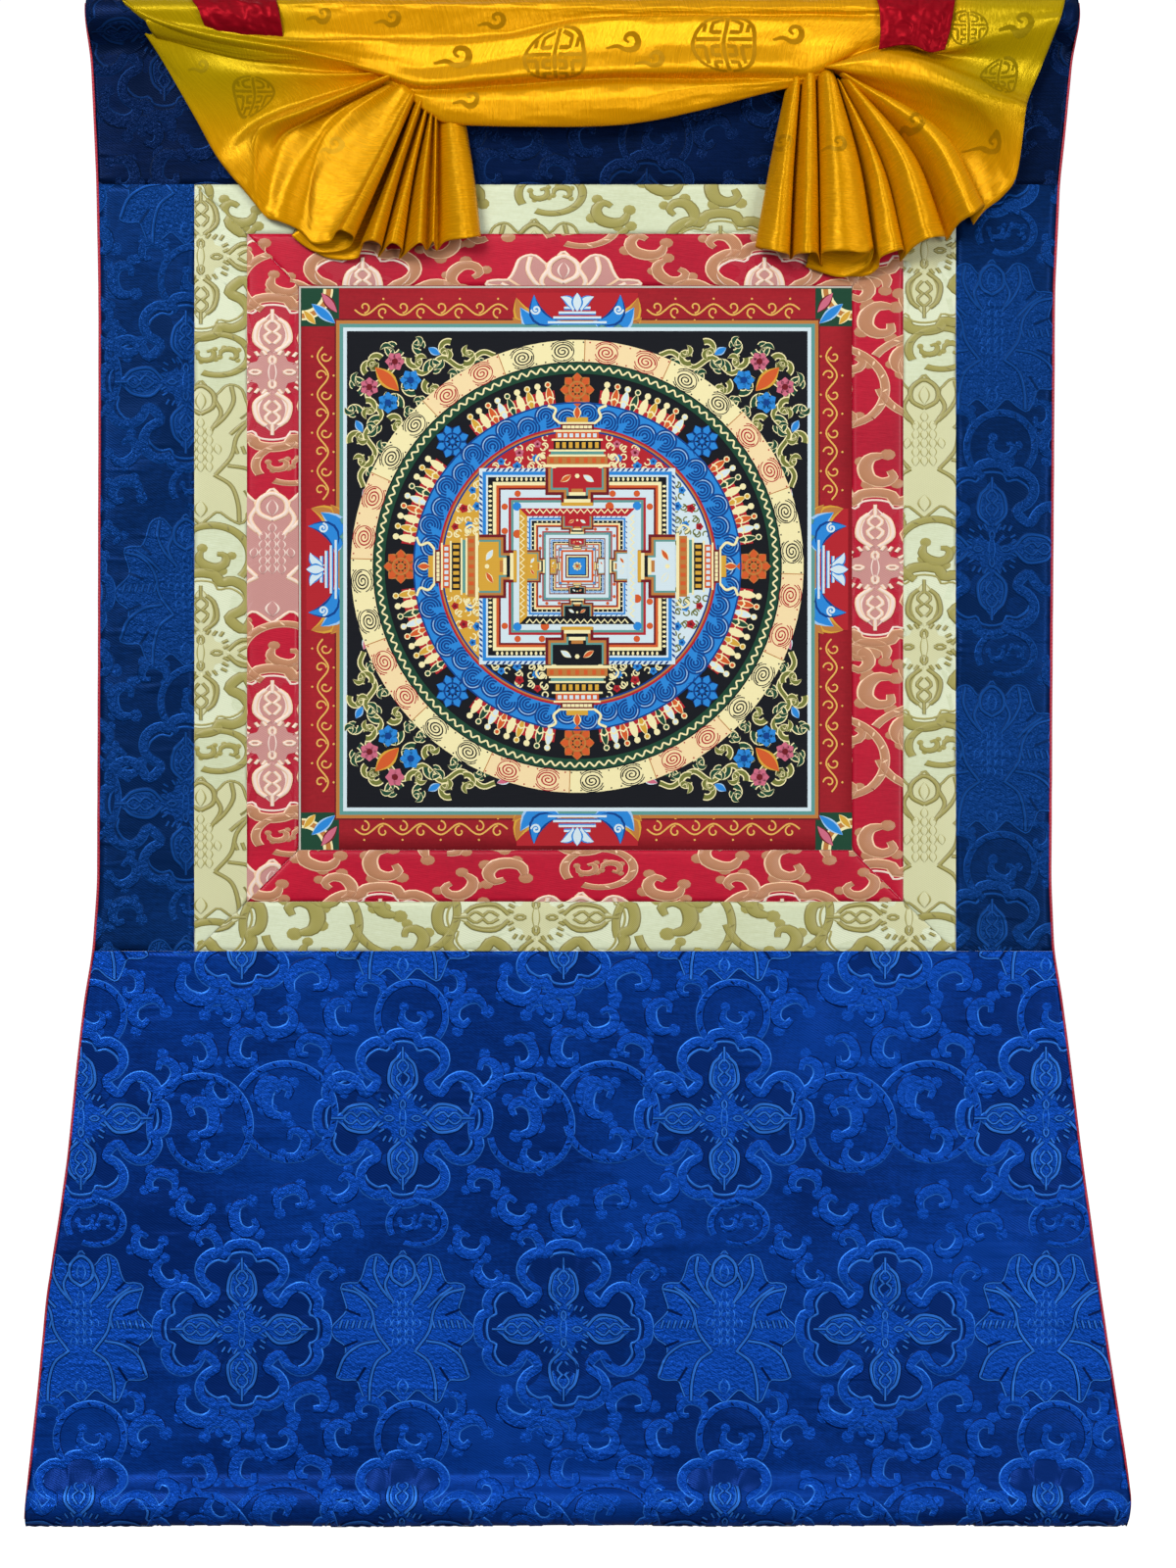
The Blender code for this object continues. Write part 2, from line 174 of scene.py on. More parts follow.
# Flat figures -------------------------------------------------------------------------------------
@dataclass(frozen=True)
class Figure:
    """Flat drawing in triangles: places hold x, down and lift, and each triangle has an ink."""

    places: Array
    corners: Array
    inks: Array

    @classmethod
    def of_grid(cls, x: Array, down: Array, lift: Array, inks: Sequence[int] | int) -> "Figure":
        """Figure of a grid of places, each cell cut into two triangles.

        Args:
            x: X of each place, rows by columns.
            down: Distance down of each place.
            lift: Height of each place above the cloth.
            inks: Ink of each strip between two columns, or one for all.

        Returns:
            The figure.
        """
        rows, columns = x.shape
        at = np.arange(rows * columns).reshape(rows, columns)
        a, b, c, d = at[:-1, :-1], at[:-1, 1:], at[1:, 1:], at[1:, :-1]
        halves = [np.stack([a, b, c], -1), np.stack([a, c, d], -1)]
        strips = np.broadcast_to(np.asarray(inks, int), (rows - 1, columns - 1)).reshape(-1)
        places = np.stack([x, down, np.broadcast_to(lift, x.shape)], -1).reshape(-1, 3)
        return cls(places, np.stack(halves, 2).reshape(-1, 3), np.repeat(strips, 2))

    @classmethod
    def joined(cls, figures: Iterable["Figure"]) -> "Figure":
        """One figure of several, drawn in their order.

        Args:
            figures: The several.

        Returns:
            The one.
        """
        parts = list(figures)
        starts = np.cumsum([0, *(len(part.places) for part in parts[:-1])])
        return cls(
            np.concatenate([part.places for part in parts]),
            np.concatenate([part.corners + start for part, start in zip(parts, starts)]),
            np.concatenate([part.inks for part in parts]),
        )

    def placed(
        self, at: Point = (0.0, 0.0), turn: float = 0.0, wide: float = 1.0, tall: float = 1.0,
        lift: float = 0.0,
    ) -> "Figure":
        """The figure scaled, then turned and shifted.

        Args:
            at: Where its own middle comes to lie.
            turn: Turn in degrees, clockwise as seen from the front.
            wide: Scale across; a negative one mirrors.
            tall: Scale down.
            lift: What is added to its height above the cloth.

        Returns:
            The new figure.
        """
        x, down, height = self.places.T
        x, down = x * wide, down * tall
        cosine, sine = math.cos(math.radians(turn)), math.sin(math.radians(turn))
        places = [x * cosine - down * sine + at[0], x * sine + down * cosine + at[1], height + lift]
        return Figure(np.stack(places, 1), self.corners, self.inks)

    def around(self, count: int, start: float = 0.0) -> "Figure":
        """Copies of the figure turned about its middle, evenly all the way round."""
        return Figure.joined(self.placed(turn=start + 360 * turn / count) for turn in range(count))

    def both(self) -> "Figure":
        """The figure and its mirror image to the left."""
        return Figure.joined([self, self.placed(wide=-1)])


def drawing(draw: Callable[..., Iterator[Figure]]) -> Callable[..., Figure]:
    """Makes a method that yields figures give back one, in which they lie in their order.

    Args:
        draw: The method.

    Returns:
        The method that gives back one figure.
    """
    @functools.wraps(draw)
    def whole(*given: object, **named: object) -> Figure:
        """The figures that the method yields, joined."""
        return Figure.joined(draw(*given, **named))

    return whole


@dataclass(frozen=True)
class Region:
    """Part of the cloth's plane from top to foot, between edges that follow the drop."""

    top: float
    foot: float
    left: Edge
    right: Edge

    def edge_distance(self, x: Array, down: Array) -> Array:
        """How far places lie inside the nearest edge."""
        sides = np.minimum(x - self.left(down), self.right(down) - x)
        return np.maximum(np.minimum(sides, np.minimum(down - self.top, self.foot - down)), 0.0)

    def cut(self, figure: Figure) -> Figure:
        """The part of a figure inside: what is beyond an edge is drawn back onto it.

        Args:
            figure: Figure that may reach outside.

        Returns:
            The figure without the triangles that this leaves with no area.
        """
        x, down, lift = figure.places.T
        down = np.clip(down, self.top, self.foot)
        x = np.clip(x, self.left(down), self.right(down))
        a, b, c = (np.stack([x, down], 1)[figure.corners[:, k]] for k in range(3))
        whole = np.abs(np.cross(b - a, c - a)) > 1e-9
        used, corners = np.unique(figure.corners[whole], return_inverse=True)
        places = np.stack([x, down, lift], 1)[used]
        return Figure(places, corners.reshape(-1, 3), figure.inks[whole])


def band(
    path: Array, half: Array | float, ink: int, rim: int | tuple[int, int] | None = None,
    crown: float = 0.0, lift: float = 0.0, rim_share: float = 0.26, closed: bool = False,
) -> Figure:
    """Stroke along a path: to each side of it, half its width along the path's normal.

    Args:
        path: Points of its middle line.
        half: Half width, one or one for each point.
        ink: Ink of the stroke.
        rim: Ink of a thin line along both edges, or of one along each, if it has them.
        crown: Height of its middle above its edges.
        lift: Height of its edges.
        rim_share: Share of the half width that the rim takes.
        closed: Whether the path comes back to its first point.

    Returns:
        The stroke.
    """
    slope = np.gradient(path, axis=0)
    if closed:
        slope[0] = slope[-1] = path[1] - path[-2]
    slope /= np.maximum(np.linalg.norm(slope, axis=1, keepdims=True), 1e-9)
    if rim is None:
        sides, inks = np.array([-1.0, 0.0, 1.0]), [ink, ink]
        rise = 1 - np.abs(sides) ** 3
    else:
        inner = 1 - rim_share
        rims = rim if isinstance(rim, tuple) else (rim, rim)
        sides, inks = np.array([-1.0, -inner, 0.0, inner, 1.0]), [rims[0], ink, ink, rims[1]]
        rise = np.interp(np.abs(sides), [0, inner, 1], [0.7, 1, 0])
    reach = np.broadcast_to(half, len(path))[:, None] * sides
    x = path[:, :1] - slope[:, 1:] * reach
    down = path[:, 1:] + slope[:, :1] * reach
    return Figure.of_grid(x, down, np.broadcast_to(lift + crown * rise, x.shape), inks)


def polar(
    radius: Array, ink: int, lift: float = 0.0, crown: float = 0.0, inner: float = 0.0,
    start: float = 0.0, end: float = 360.0, rings: int = 3,
) -> Figure:
    """Disc, ring or lobed patch: from the inner radius out to a radius for each bearing.

    Args:
        radius: Outer radius at evenly spaced bearings, first and last among them.
        ink: Its ink.
        lift: Height at the rim.
        crown: Height of the middle above the rim.
        inner: Inner radius.
        start: First bearing in degrees, clockwise from the right.
        end: Last bearing.
        rings: How many steps it takes from the inner to the outer edge.

    Returns:
        The patch.
    """
    bearing = np.radians(np.linspace(start, end, len(radius)))[:, None]
    share = np.linspace(0.0, 1.0, rings + 1)
    reach = inner + (np.asarray(radius, float)[:, None] - inner) * share
    heights = np.broadcast_to(lift + crown * (1 - share**2), reach.shape)
    return Figure.of_grid(reach * np.cos(bearing), reach * np.sin(bearing), heights, ink)


def disc(radius: float, ink: int, lift: float = 0.0, crown: float = 0.0, sides: int = 12) -> Figure:
    """Round spot."""
    return polar(np.full(sides + 1, radius), ink, lift, crown, rings=1 if crown == 0 else 2)


def bearing_at(radius: float, bearing: float) -> Point:
    """Place at a distance from the middle, on a bearing in degrees clockwise from the right."""
    return radius * math.cos(math.radians(bearing)), radius * math.sin(math.radians(bearing))


def arc(radius: float, start: float, end: float, to_radius: float | None = None) -> Array:
    """Path round the middle from one bearing to another: points a few degrees apart.

    Args:
        radius: Distance from the middle.
        start: Bearing of its start, in degrees.
        end: Bearing of its end.
        to_radius: Distance at its end, where that is another.

    Returns:
        Points.
    """
    count = max(4, math.ceil(abs(end - start) / 9))
    bearing = np.radians(np.linspace(start, end, count))
    reach = np.linspace(radius, radius if to_radius is None else to_radius, count)
    return np.stack([reach * np.cos(bearing), reach * np.sin(bearing)], 1)


def leaf(
    start: Point, end: Point, half: float, ink: int, rim: int | None = None, bend: float = 0.0,
    lift: float = 0.0, crown: float = 0.0, peak: float = 0.5, steps: int = 9,
) -> Figure:
    """Pointed leaf or petal: a stroke whose half width is half * sin(pi t^p), on a bowed line.

    Args:
        start: Its base.
        end: Its tip.
        half: Half its greatest width.
        ink: Its ink.
        rim: Ink of its outline, if it has one.
        bend: How far its line bows to the side, as a share of its length.
        lift: Height of its edges.
        crown: Height of its middle above its edges.
        peak: Where it is widest, as a share of its length.
        steps: Rows along it.

    Returns:
        The leaf.
    """
    share = np.linspace(0.0, 1.0, steps)
    line = np.array(end, float) - np.array(start, float)
    side = np.array([-line[1], line[0]])
    path = np.array(start) + share[:, None] * line + np.sin(np.pi * share)[:, None] * side * bend
    power = math.log(0.5) / math.log(peak)
    width = half * np.sin(np.pi * np.clip(share**power, 0, 1)) + 0.02 * half
    return band(path, width, ink, rim, crown, lift, rim_share=0.3)


def patch(outline: Array, ink: int, lift: float = 0.0, crown: float = 0.0, rings: int = 3) -> Figure:
    """Filled shape: straight rows of cells from the middle out to a closed outline.

    Args:
        outline: Points of the outline, the first again at the end.
        ink: Its ink.
        lift: Height at the outline.
        crown: Height of the middle above the outline.
        rings: How many steps it takes from the middle to the outline.

    Returns:
        The patch.
    """
    share = np.linspace(0.0, 1.0, rings + 1)
    heights = np.broadcast_to(lift + crown * (1 - share**3), (len(outline), rings + 1))
    return Figure.of_grid(outline[:, :1] * share, outline[:, 1:] * share, heights, ink)


def mirrored(half: Sequence[Point]) -> Array:
    """Closed ring of points: those of the right half, from the top down, then back up on the left."""
    right = np.array(half, float)
    return np.vstack([right, right[::-1] * [-1, 1]])


def sheet_of(wide: Point, tall: Point, ink: int, lift: float, pitch: float) -> Figure:
    """Flat rectangle in cells no larger than the pitch.

    Args:
        wide: Its two sides.
        tall: Its top and foot.
        ink: Its thread or paint.
        lift: Height above the cloth.
        pitch: Largest side of a cell.

    Returns:
        The figure.
    """
    columns = np.linspace(*wide, max(2, math.ceil((wide[1] - wide[0]) / pitch) + 1))
    rows = np.linspace(*tall, max(2, math.ceil((tall[1] - tall[0]) / pitch) + 1))
    x, down = np.meshgrid(columns, rows)
    return Figure.of_grid(x, down, np.full(x.shape, lift), ink)


# Surfaces -----------------------------------------------------------------------------------------
@dataclass(frozen=True)
class Wrinkle:
    """Soft ridge or, with a negative height, crease across the hung cloth.

    Its middle is a column and row of the photograph, and its width and height are in millimetres.
    """

    column: float
    row: float
    length: float
    width: float
    height: float
    slope: float = 0.0

    def depth(self, x: Array, drop: Array) -> Array:
        """Its depth: a bell across its line, that dies out along it.

        Args:
            x: Places across.
            drop: Places down.

        Returns:
            Depth at each.
        """
        middle, level = spot(self.column, self.row)
        off = drop - level - self.slope * (x - middle)
        along = (x - middle) / self.length
        return 1.1 * (self.height * MM) * np.exp(-((off / (self.width * MM)) ** 2) - along**2)


@dataclass(frozen=True)
class Drape:
    """Shape of the hung cloth: two slow waves as in the solids, with wrinkles and fine puckers."""

    waves: float = 0.9 * MM
    wave_across: float = 0.310
    wave_down: float = 0.240
    phase: float = 0.8
    pucker: float = 0.55 * MM
    pucker_size: float = 21 * MM
    wrinkles: tuple[Wrinkle, ...] = ()
    seed: int = 1

    def depth(self, x: Array, drop: Array) -> Array:
        """Depth at each place: the sum of the waves, the puckers and the wrinkles.

        Args:
            x: X of each place.
            drop: Its distance below the top edge.

        Returns:
            Distance towards the viewer.
        """
        slack = np.sin(np.pi * np.clip(drop / HEIGHT, 0, 1)) ** 2
        sideways = np.sin(2 * np.pi * x / self.wave_across + self.phase)
        total = self.waves * slack * (sideways + 0.6 * np.sin(2 * np.pi * drop / self.wave_down))
        if self.pucker:
            size = self.pucker_size
            total = total + self.pucker * (
                lattice_noise(x / size, 1.5 * drop / size, self.seed)
                + 0.25 * lattice_noise(1.6 * x / size, 2.2 * drop / size, self.seed + 1)
            )
        for wrinkle in self.wrinkles:
            total = total + wrinkle.depth(x, drop)
        return total


@dataclass(frozen=True)
class FlatCloth:
    """Front of a piece that hangs flat, sewn in along the edges of its region."""

    region: Region
    drape: Drape
    seam_dip: float = 0.45 * MM
    seam_reach: float = 1.6 * MM

    def dip(self, x: Array, down: Array) -> Array:
        """How far the cloth sinks towards its seams: it falls off exponentially from the edge."""
        return self.seam_dip * np.exp(-self.region.edge_distance(x, down) / self.seam_reach)

    def place(self, x: Array, down: Array, lift: Array | float) -> Array:
        """Points above the front of the cloth, by the drape's depth with the dip at the seams."""
        depth = SHEET / 2 + self.drape.depth(x, down) - self.dip(x, down) + lift
        return np.stack([x, -depth, -down], -1)

    def skin(self, pitch: float) -> tuple[Array, Array]:
        """Closed skin of the cloth as a grid whose rows run down the front and up the back.

        Args:
            pitch: Size of its cells.

        Returns:
            Points, rows by columns by 3, and map places, rows by columns by 2.
        """
        top, foot = self.region.top, self.region.foot
        front = np.linspace(top, foot, max(3, math.ceil((foot - top) / pitch)))
        down, side = np.concatenate([front, front[::-1]]), np.repeat([1.0, -1.0], len(front))
        left, right = self.region.left(down), self.region.right(down)
        share = np.linspace(0.0, 1.0, max(3, math.ceil(float(np.max(right - left)) / pitch)))
        x = left[:, None] + share * (right - left)[:, None]
        down = np.broadcast_to(down[:, None], x.shape)
        lift = np.where(side[:, None] > 0, 0.0, 2 * self.dip(x, down) - SHEET)
        return self.place(x, down, lift), np.stack([x * side[:, None], -down], -1)


@dataclass(frozen=True)
class RolledCloth(FlatCloth):
    """Cloth that swells out over a round roll at the edge of the hanging and comes back behind.

    Down, on the roll, is measured along the cloth, from where it leaves the plane.
    """

    at_foot: bool = True
    radius: float = 13.5 * MM
    lead: float = 34.0 * MM
    join: float = 40.0
    end: float = 8.0 * MM
    end_rows: tuple[float, ...] = (0.3, 0.6, 0.8)
    usual_width: float = 0.7
    rounding: float = 0.55
    dent: float = 0.4 * MM
    dent_size: Point = (0.045, 0.02)

    def profile(self) -> tuple[Array, Array, Array]:
        """Section from the lead round the roll to the lead behind.

        The front is a short curve that meets the circle on its tangent; the back mirrors it.

        Returns:
            The run along the section, the distance off the far edge, and the depth.
        """
        turn = math.radians(self.join)
        meet = np.array([self.radius * (1 + math.cos(turn)), self.radius * math.sin(turn)])
        back = (meet[1] - SHEET / 2) / math.cos(turn)
        bend = meet + back * np.array([math.sin(turn), -math.cos(turn)])
        first = np.array([self.lead, SHEET / 2])
        t = np.linspace(0.0, 1.0, 10)[:-1, None]
        lead_in = (1 - t) ** 2 * first + 2 * t * (1 - t) * bend + t**2 * meet
        turns = np.linspace(turn, 2 * np.pi - turn, 40)
        circle = self.radius * np.stack([1 + np.cos(turns), np.sin(turns)], 1)
        section = np.vstack([lead_in, circle, lead_in[::-1] * [1, -1]])
        return run_of(section), section[:, 0], section[:, 1]

    @property
    def reach(self) -> float:
        """Furthest down, in the cloth's own measure, that the skin goes round the roll."""
        run = self.profile()[0][-1]
        return HEIGHT - self.lead + run if self.at_foot else self.lead - run

    def edge_along(self, edge: Edge) -> Edge:
        """An edge of the cloth as a function of the distance down along it."""
        return lambda down: edge(self.drop_at(self.section_at(down)[0]))

    @property
    def seam(self) -> float:
        """Drop of the seam across its flat end."""
        return self.region.top if self.at_foot else self.region.foot

    def drop_at(self, off: Array | float) -> Array | float:
        """Drop at a distance off the rolled edge."""
        return HEIGHT - off if self.at_foot else off

    def section_at(self, down: Array) -> tuple[Array, ...]:
        """Section at a distance down: the profile on the roll, the plain front before it.

        Args:
            down: Distance down, along the cloth.

        Returns:
            Distance off the far edge, depth, and the outward normal as its two parts.
        """
        run, off, depth = self.profile()
        normal_depth, normal_off = -np.gradient(off, run), np.gradient(depth, run)
        size = np.hypot(normal_depth, normal_off)
        along = down - (HEIGHT - self.lead) if self.at_foot else self.lead - down
        found = (off, depth, normal_off / size, normal_depth / size)
        flat = (self.lead - along, SHEET / 2, 0.0, 1.0)
        return tuple(
            np.where(along > 0, np.interp(along, run, values), plain)
            for values, plain in zip(found, flat)
        )

    def place(self, x: Array, down: Array, lift: Array | float) -> Array:
        """Points above the skin, out along the section's normal.

        Args:
            x: X of each place.
            down: Distance down, along the cloth.
            lift: Height above the cloth.

        Returns:
            The points.
        """
        off, depth, normal_off, normal_depth = self.section_at(down)
        drop, on_roll = self.drop_at(off), np.abs(depth) > SHEET
        limits = self.region.left(drop), self.region.right(drop)
        inward = np.clip(np.minimum(x - limits[0], limits[1] - x) / self.end, 0, 1)
        drawn = np.where(on_roll, np.sqrt(1 - self.rounding * (1 - inward) ** 2), 1.0)
        dents = self.dent * lattice_noise(x / self.dent_size[0], down / self.dent_size[1], 31)
        out = lift + np.where(on_roll, dents, 0.0)
        waves = self.drape.depth(x, drop) - self.dip(x, down)
        depth = depth * drawn + out * normal_depth + waves
        drop = drop + (1 if self.at_foot else -1) * -out * normal_off
        return np.stack(np.broadcast_arrays(x, -depth, -drop), -1)

    def dip(self, x: Array, down: Array) -> Array:
        """The cloth sinks only towards the seam across its flat end."""
        return self.seam_dip * np.exp(-np.abs(down - self.seam) / self.seam_reach)

    def skin(self, pitch: float) -> tuple[Array, Array]:
        """Closed skin, down the front, round the roll and up the back to the seam.

        Args:
            pitch: Size of its cells.

        Returns:
            Points, rows by columns by 3, and map places, rows by columns by 2.
        """
        seam, lead = self.seam, self.drop_at(self.lead)
        flat = np.linspace(seam, lead, max(3, math.ceil(abs(lead - seam) / (0.8 * pitch))))[:-1]
        over = np.linspace(lead, self.reach, 56)
        down = np.concatenate([flat, over, self.reach + (lead - flat[::-1])])
        side = np.repeat([1.0, -1.0], [len(flat) + len(over), len(flat)])[:, None]
        drop = np.where(side > 0, down[:, None], lead - (down[:, None] - self.reach))
        off = self.section_at(np.where(side > 0, drop, seam))[0]
        level = np.where(side > 0, self.drop_at(off), drop)
        left, right = self.region.left(level), self.region.right(level)
        share = np.linspace(0.0, 1.0, math.ceil(float(np.max(right - left)) / (1.2 * pitch)))
        ends = np.array(self.end_rows) * self.end / self.usual_width
        share = np.sort(np.concatenate([share, ends, 1 - ends]))
        x = left + share * (right - left)
        drop = np.broadcast_to(drop, x.shape)
        behind = np.stack([x, SHEET / 2 - self.drape.depth(x, drop), -drop], -1)
        points = np.where((side > 0)[..., None], self.place(x, drop, 0.0), behind)
        return points, np.stack([x, np.broadcast_to(-down[:, None], x.shape)], -1)


# Meshes -------------------------------------------------------------------------------------------
def new_piece(name: str, points: Array, faces: Array, places: Array) -> bpy.types.Object:
    """Smooth-shaded mesh object with a cloth map.

    Args:
        name: Its name.
        points: Its vertices, in a list or a grid.
        faces: Corners of its faces, all with as many corners.
        places: Map place of each vertex, in metres.

    Returns:
        The object, at the origin and riding on the one body.
    """
    points, places = points.reshape(-1, 3), places.reshape(-1, 2)
    mesh = bpy.data.meshes.new(name)
    mesh.vertices.add(len(points))
    mesh.vertices.foreach_set("co", np.ascontiguousarray(points, np.float32).ravel())
    mesh.loops.add(faces.size)
    mesh.loops.foreach_set("vertex_index", np.ascontiguousarray(faces, np.int32).ravel())
    mesh.polygons.add(len(faces))
    starts = np.arange(len(faces), dtype=np.int32) * faces.shape[1]
    mesh.polygons.foreach_set("loop_start", starts)
    layer = mesh.uv_layers.new(name=CLOTH_MAP)
    layer.data.foreach_set("uv", np.ascontiguousarray(places[faces], np.float32).ravel())
    mesh.update(calc_edges=True)
    mesh.validate()
    mesh.shade_smooth()
    piece = bpy.data.objects.new(name, mesh)
    bpy.context.scene.collection.objects.link(piece)
    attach(piece, "root")
    return piece


def grid_faces(rows: int, columns: int) -> Array:
    """Four-cornered faces of a grid of vertices."""
    at = np.arange(rows * columns).reshape(rows, columns)
    cells = [at[:-1, :-1], at[1:, :-1], at[1:, 1:], at[:-1, 1:]]
    return np.stack(cells, -1).reshape(-1, 4)


def skin_piece(name: str, points: Array, places: Array) -> bpy.types.Object:
    """Closed piece from a skin whose rows run down the front and up the back.

    The two side edges and the upper edge are closed between a row and the row opposite it.

    Args:
        name: Name of the piece.
        points: Grid of points.
        places: Grid of map places.

    Returns:
        The object.
    """
    rows, columns = points.shape[:2]
    at = np.arange(rows * columns).reshape(rows, columns)
    seam = np.stack([at[0, :-1], at[0, 1:], at[-1, 1:], at[-1, :-1]], 1)
    up, down = np.arange(rows // 2 - 1), np.arange(1, rows // 2)
    under, over = rows - 1 - up, rows - 1 - down
    ends = [
        np.stack([at[up, 0], at[under, 0], at[over, 0], at[down, 0]], 1),
        np.stack([at[up, -1], at[down, -1], at[over, -1], at[under, -1]], 1),
    ]
    return new_piece(name, points, np.concatenate([grid_faces(rows, columns), seam, *ends]), places)


def figure_piece(
    name: str, figure: Figure, cloth: FlatCloth, finishes: Sequence["Finish"],
) -> bpy.types.Object:
    """Raised figure on a cloth, as one piece with a material for each ink.

    Args:
        name: Name of the piece.
        figure: Flat drawing, cut to the cloth.
        cloth: Surface that it lies on.
        finishes: Finish of each ink, in the order of the inks' numbers.

    Returns:
        The object.
    """
    x, down, lift = figure.places.T
    a, b, c = (figure.places[figure.corners[:, k], :2] for k in range(3))
    turned = np.cross(b - a, c - a) > 0
    corners = np.where(turned[:, None], figure.corners[:, ::-1], figure.corners)
    piece = new_piece(name, cloth.place(x, down, lift), corners, np.stack([x, -down], 1))
    used, slots = np.unique(figure.inks, return_inverse=True)
    for ink in used:
        piece.data.materials.append(finishes[ink].material())
    piece.data.polygons.foreach_set("material_index", slots.astype(np.int32))
    return piece


def mark(piece: bpy.types.Object, name: str, values: Array) -> None:
    """Gives each vertex a value that its finish can read by name."""
    layer = piece.data.attributes.new(name, "FLOAT", "POINT")
    layer.data.foreach_set("value", np.ascontiguousarray(values, np.float32).ravel())


# Finishes -----------------------------------------------------------------------------------------
def linear(colour: str) -> tuple[float, float, float, float]:
    """Colour as a shader wants it, from its six hexadecimal digits."""
    parts = np.array([int(colour[k : k + 2], 16) for k in (0, 2, 4)]) / 255
    bent = np.where(parts <= 0.04045, parts / 12.92, ((parts + 0.055) / 1.055) ** 2.4)
    return (*map(float, bent), 1.0)


class Wiring:
    """Short way to add nodes to a tree and to join them."""

    def __init__(self, tree: bpy.types.NodeTree) -> None:
        """Keeps the tree that it works on."""
        self.tree = tree

    def feed(self, node: bpy.types.Node, inputs: dict[int | str, object]) -> bpy.types.Node:
        """Gives inputs of a node their values, or joins sockets to them.

        Args:
            node: The node.
            inputs: Values or sockets by the inputs' names or numbers.

        Returns:
            The node.
        """
        for key, value in inputs.items():
            if isinstance(value, Socket):
                self.tree.links.new(value, node.inputs[key])
            else:
                node.inputs[key].default_value = value
        return node

    def add(
        self, kind: str, inputs: dict[int | str, object] | None = None, **settings: object
    ) -> bpy.types.Node:
        """New node.

        Args:
            kind: Its type, without the leading ShaderNode.
            inputs: What its inputs are given.
            settings: Its own properties.

        Returns:
            The node.
        """
        node = self.tree.nodes.new("ShaderNode" + kind)
        for name, value in settings.items():
            setattr(node, name, value)
        return self.feed(node, inputs or {})

    def math(self, operation: str, *values: Socket | float) -> Socket:
        """Outcome of one sum."""
        return self.add("Math", dict(enumerate(values)), operation=operation).outputs[0]

    def times(self, first: Socket | float, second: Socket | float) -> Socket:
        """Product of two values."""
        return self.math("MULTIPLY", first, second)

    def plus(self, first: Socket | float, second: Socket | float) -> Socket:
        """Sum of two values."""
        return self.math("ADD", first, second)

    def mix(self, share: Socket | float, first: object, second: object) -> Socket:
        """Blend of two colours."""
        return self.add("Mix", {0: share, 6: first, 7: second}, data_type="RGBA").outputs[2]

    def ramp(self, value: Socket, low: Point, high: Point, **settings: str) -> Socket:
        """Value brought from between two values to between two others."""
        ends = {"From Min": low[0], "From Max": low[1], "To Min": high[0], "To Max": high[1]}
        return self.add("MapRange", {"Value": value, **ends}, **settings).outputs[0]

    def noise(self, where: Socket, scale: Socket | float, detail: float = 2.0) -> Socket:
        """Noise value, from about 0.2 to 0.8."""
        inputs = {"Vector": where, "Scale": scale, "Detail": detail}
        return self.add("TexNoise", inputs).outputs["Fac"]

    def mapped(self, where: Socket, **by: tuple[float, float, float]) -> Socket:
        """Place turned or scaled: Rotation in radians, Scale as a factor on each axis."""
        return self.add("Mapping", {"Vector": where, **by}).outputs[0]


class Effect(Enum):
    """Shader node groups that several finishes share."""

    WEAVE = "weave"
    AGE = "age"
    CREASE = "crease"

    def group(self) -> bpy.types.NodeTree:
        """The group, built when it is first asked for.

        Returns:
            Its node tree.
        """
        made = bpy.data.node_groups.get(self.value)
        if made is None:
            made = bpy.data.node_groups.new(self.value, "ShaderNodeTree")
            builders = {Effect.WEAVE: weave_group, Effect.AGE: age_group, Effect.CREASE: crease_group}
            builders[self](made)
        return made


def open_group(
    tree: bpy.types.NodeTree, inputs: dict[str, float], outputs: Sequence[str]
) -> tuple[Wiring, bpy.types.NodeOutputs, bpy.types.Node]:
    """Names a group's sockets, and adds its input and output nodes.

    Args:
        tree: The group.
        inputs: Name and usual value of each input.
        outputs: Name of each output.

    Returns:
        Its wiring, the sockets of what it is given, and the node that it is put out by.
    """
    for name, value in inputs.items():
        socket = tree.interface.new_socket(name, in_out="INPUT", socket_type="NodeSocketFloat")
        socket.default_value = value
    for name in outputs:
        tree.interface.new_socket(name, in_out="OUTPUT", socket_type="NodeSocketFloat")
    given = tree.nodes.new("NodeGroupInput").outputs
    return Wiring(tree), given, tree.nodes.new("NodeGroupOutput")


def weave_group(tree: bpy.types.NodeTree) -> None:
    """Threads of a woven cloth: ribs across the cloth map, broken by streaks along them.

    Args:
        tree: The group, still empty.
    """
    usual = {"Threads": 900.0, "Slant": 0.0, "Breaks": 0.5, "Grain": 0.0, "Fineness": 1.0}
    wiring, given, put = open_group(tree, usual, ("Height", "Streak"))
    times, plus = wiring.times, wiring.plus
    place = wiring.add("UVMap", uv_map=CLOTH_MAP).outputs[0]
    wide, tall = wiring.add("SeparateXYZ", {0: place}).outputs[:2]
    slanted = plus(tall, times(wide, given["Slant"]))
    turns = times(times(slanted, given["Threads"]), math.tau)
    ribs = plus(times(wiring.math("SINE", turns), 0.5), 0.5)
    streak = wiring.noise(wiring.mapped(place, Scale=(90.0, 900.0, 1.0)), given["Fineness"], 3.0)
    grain = times(wiring.noise(place, 430.0), given["Grain"])
    height = plus(plus(ribs, times(streak, given["Breaks"])), grain)
    wiring.feed(put, {"Height": height, "Streak": streak})


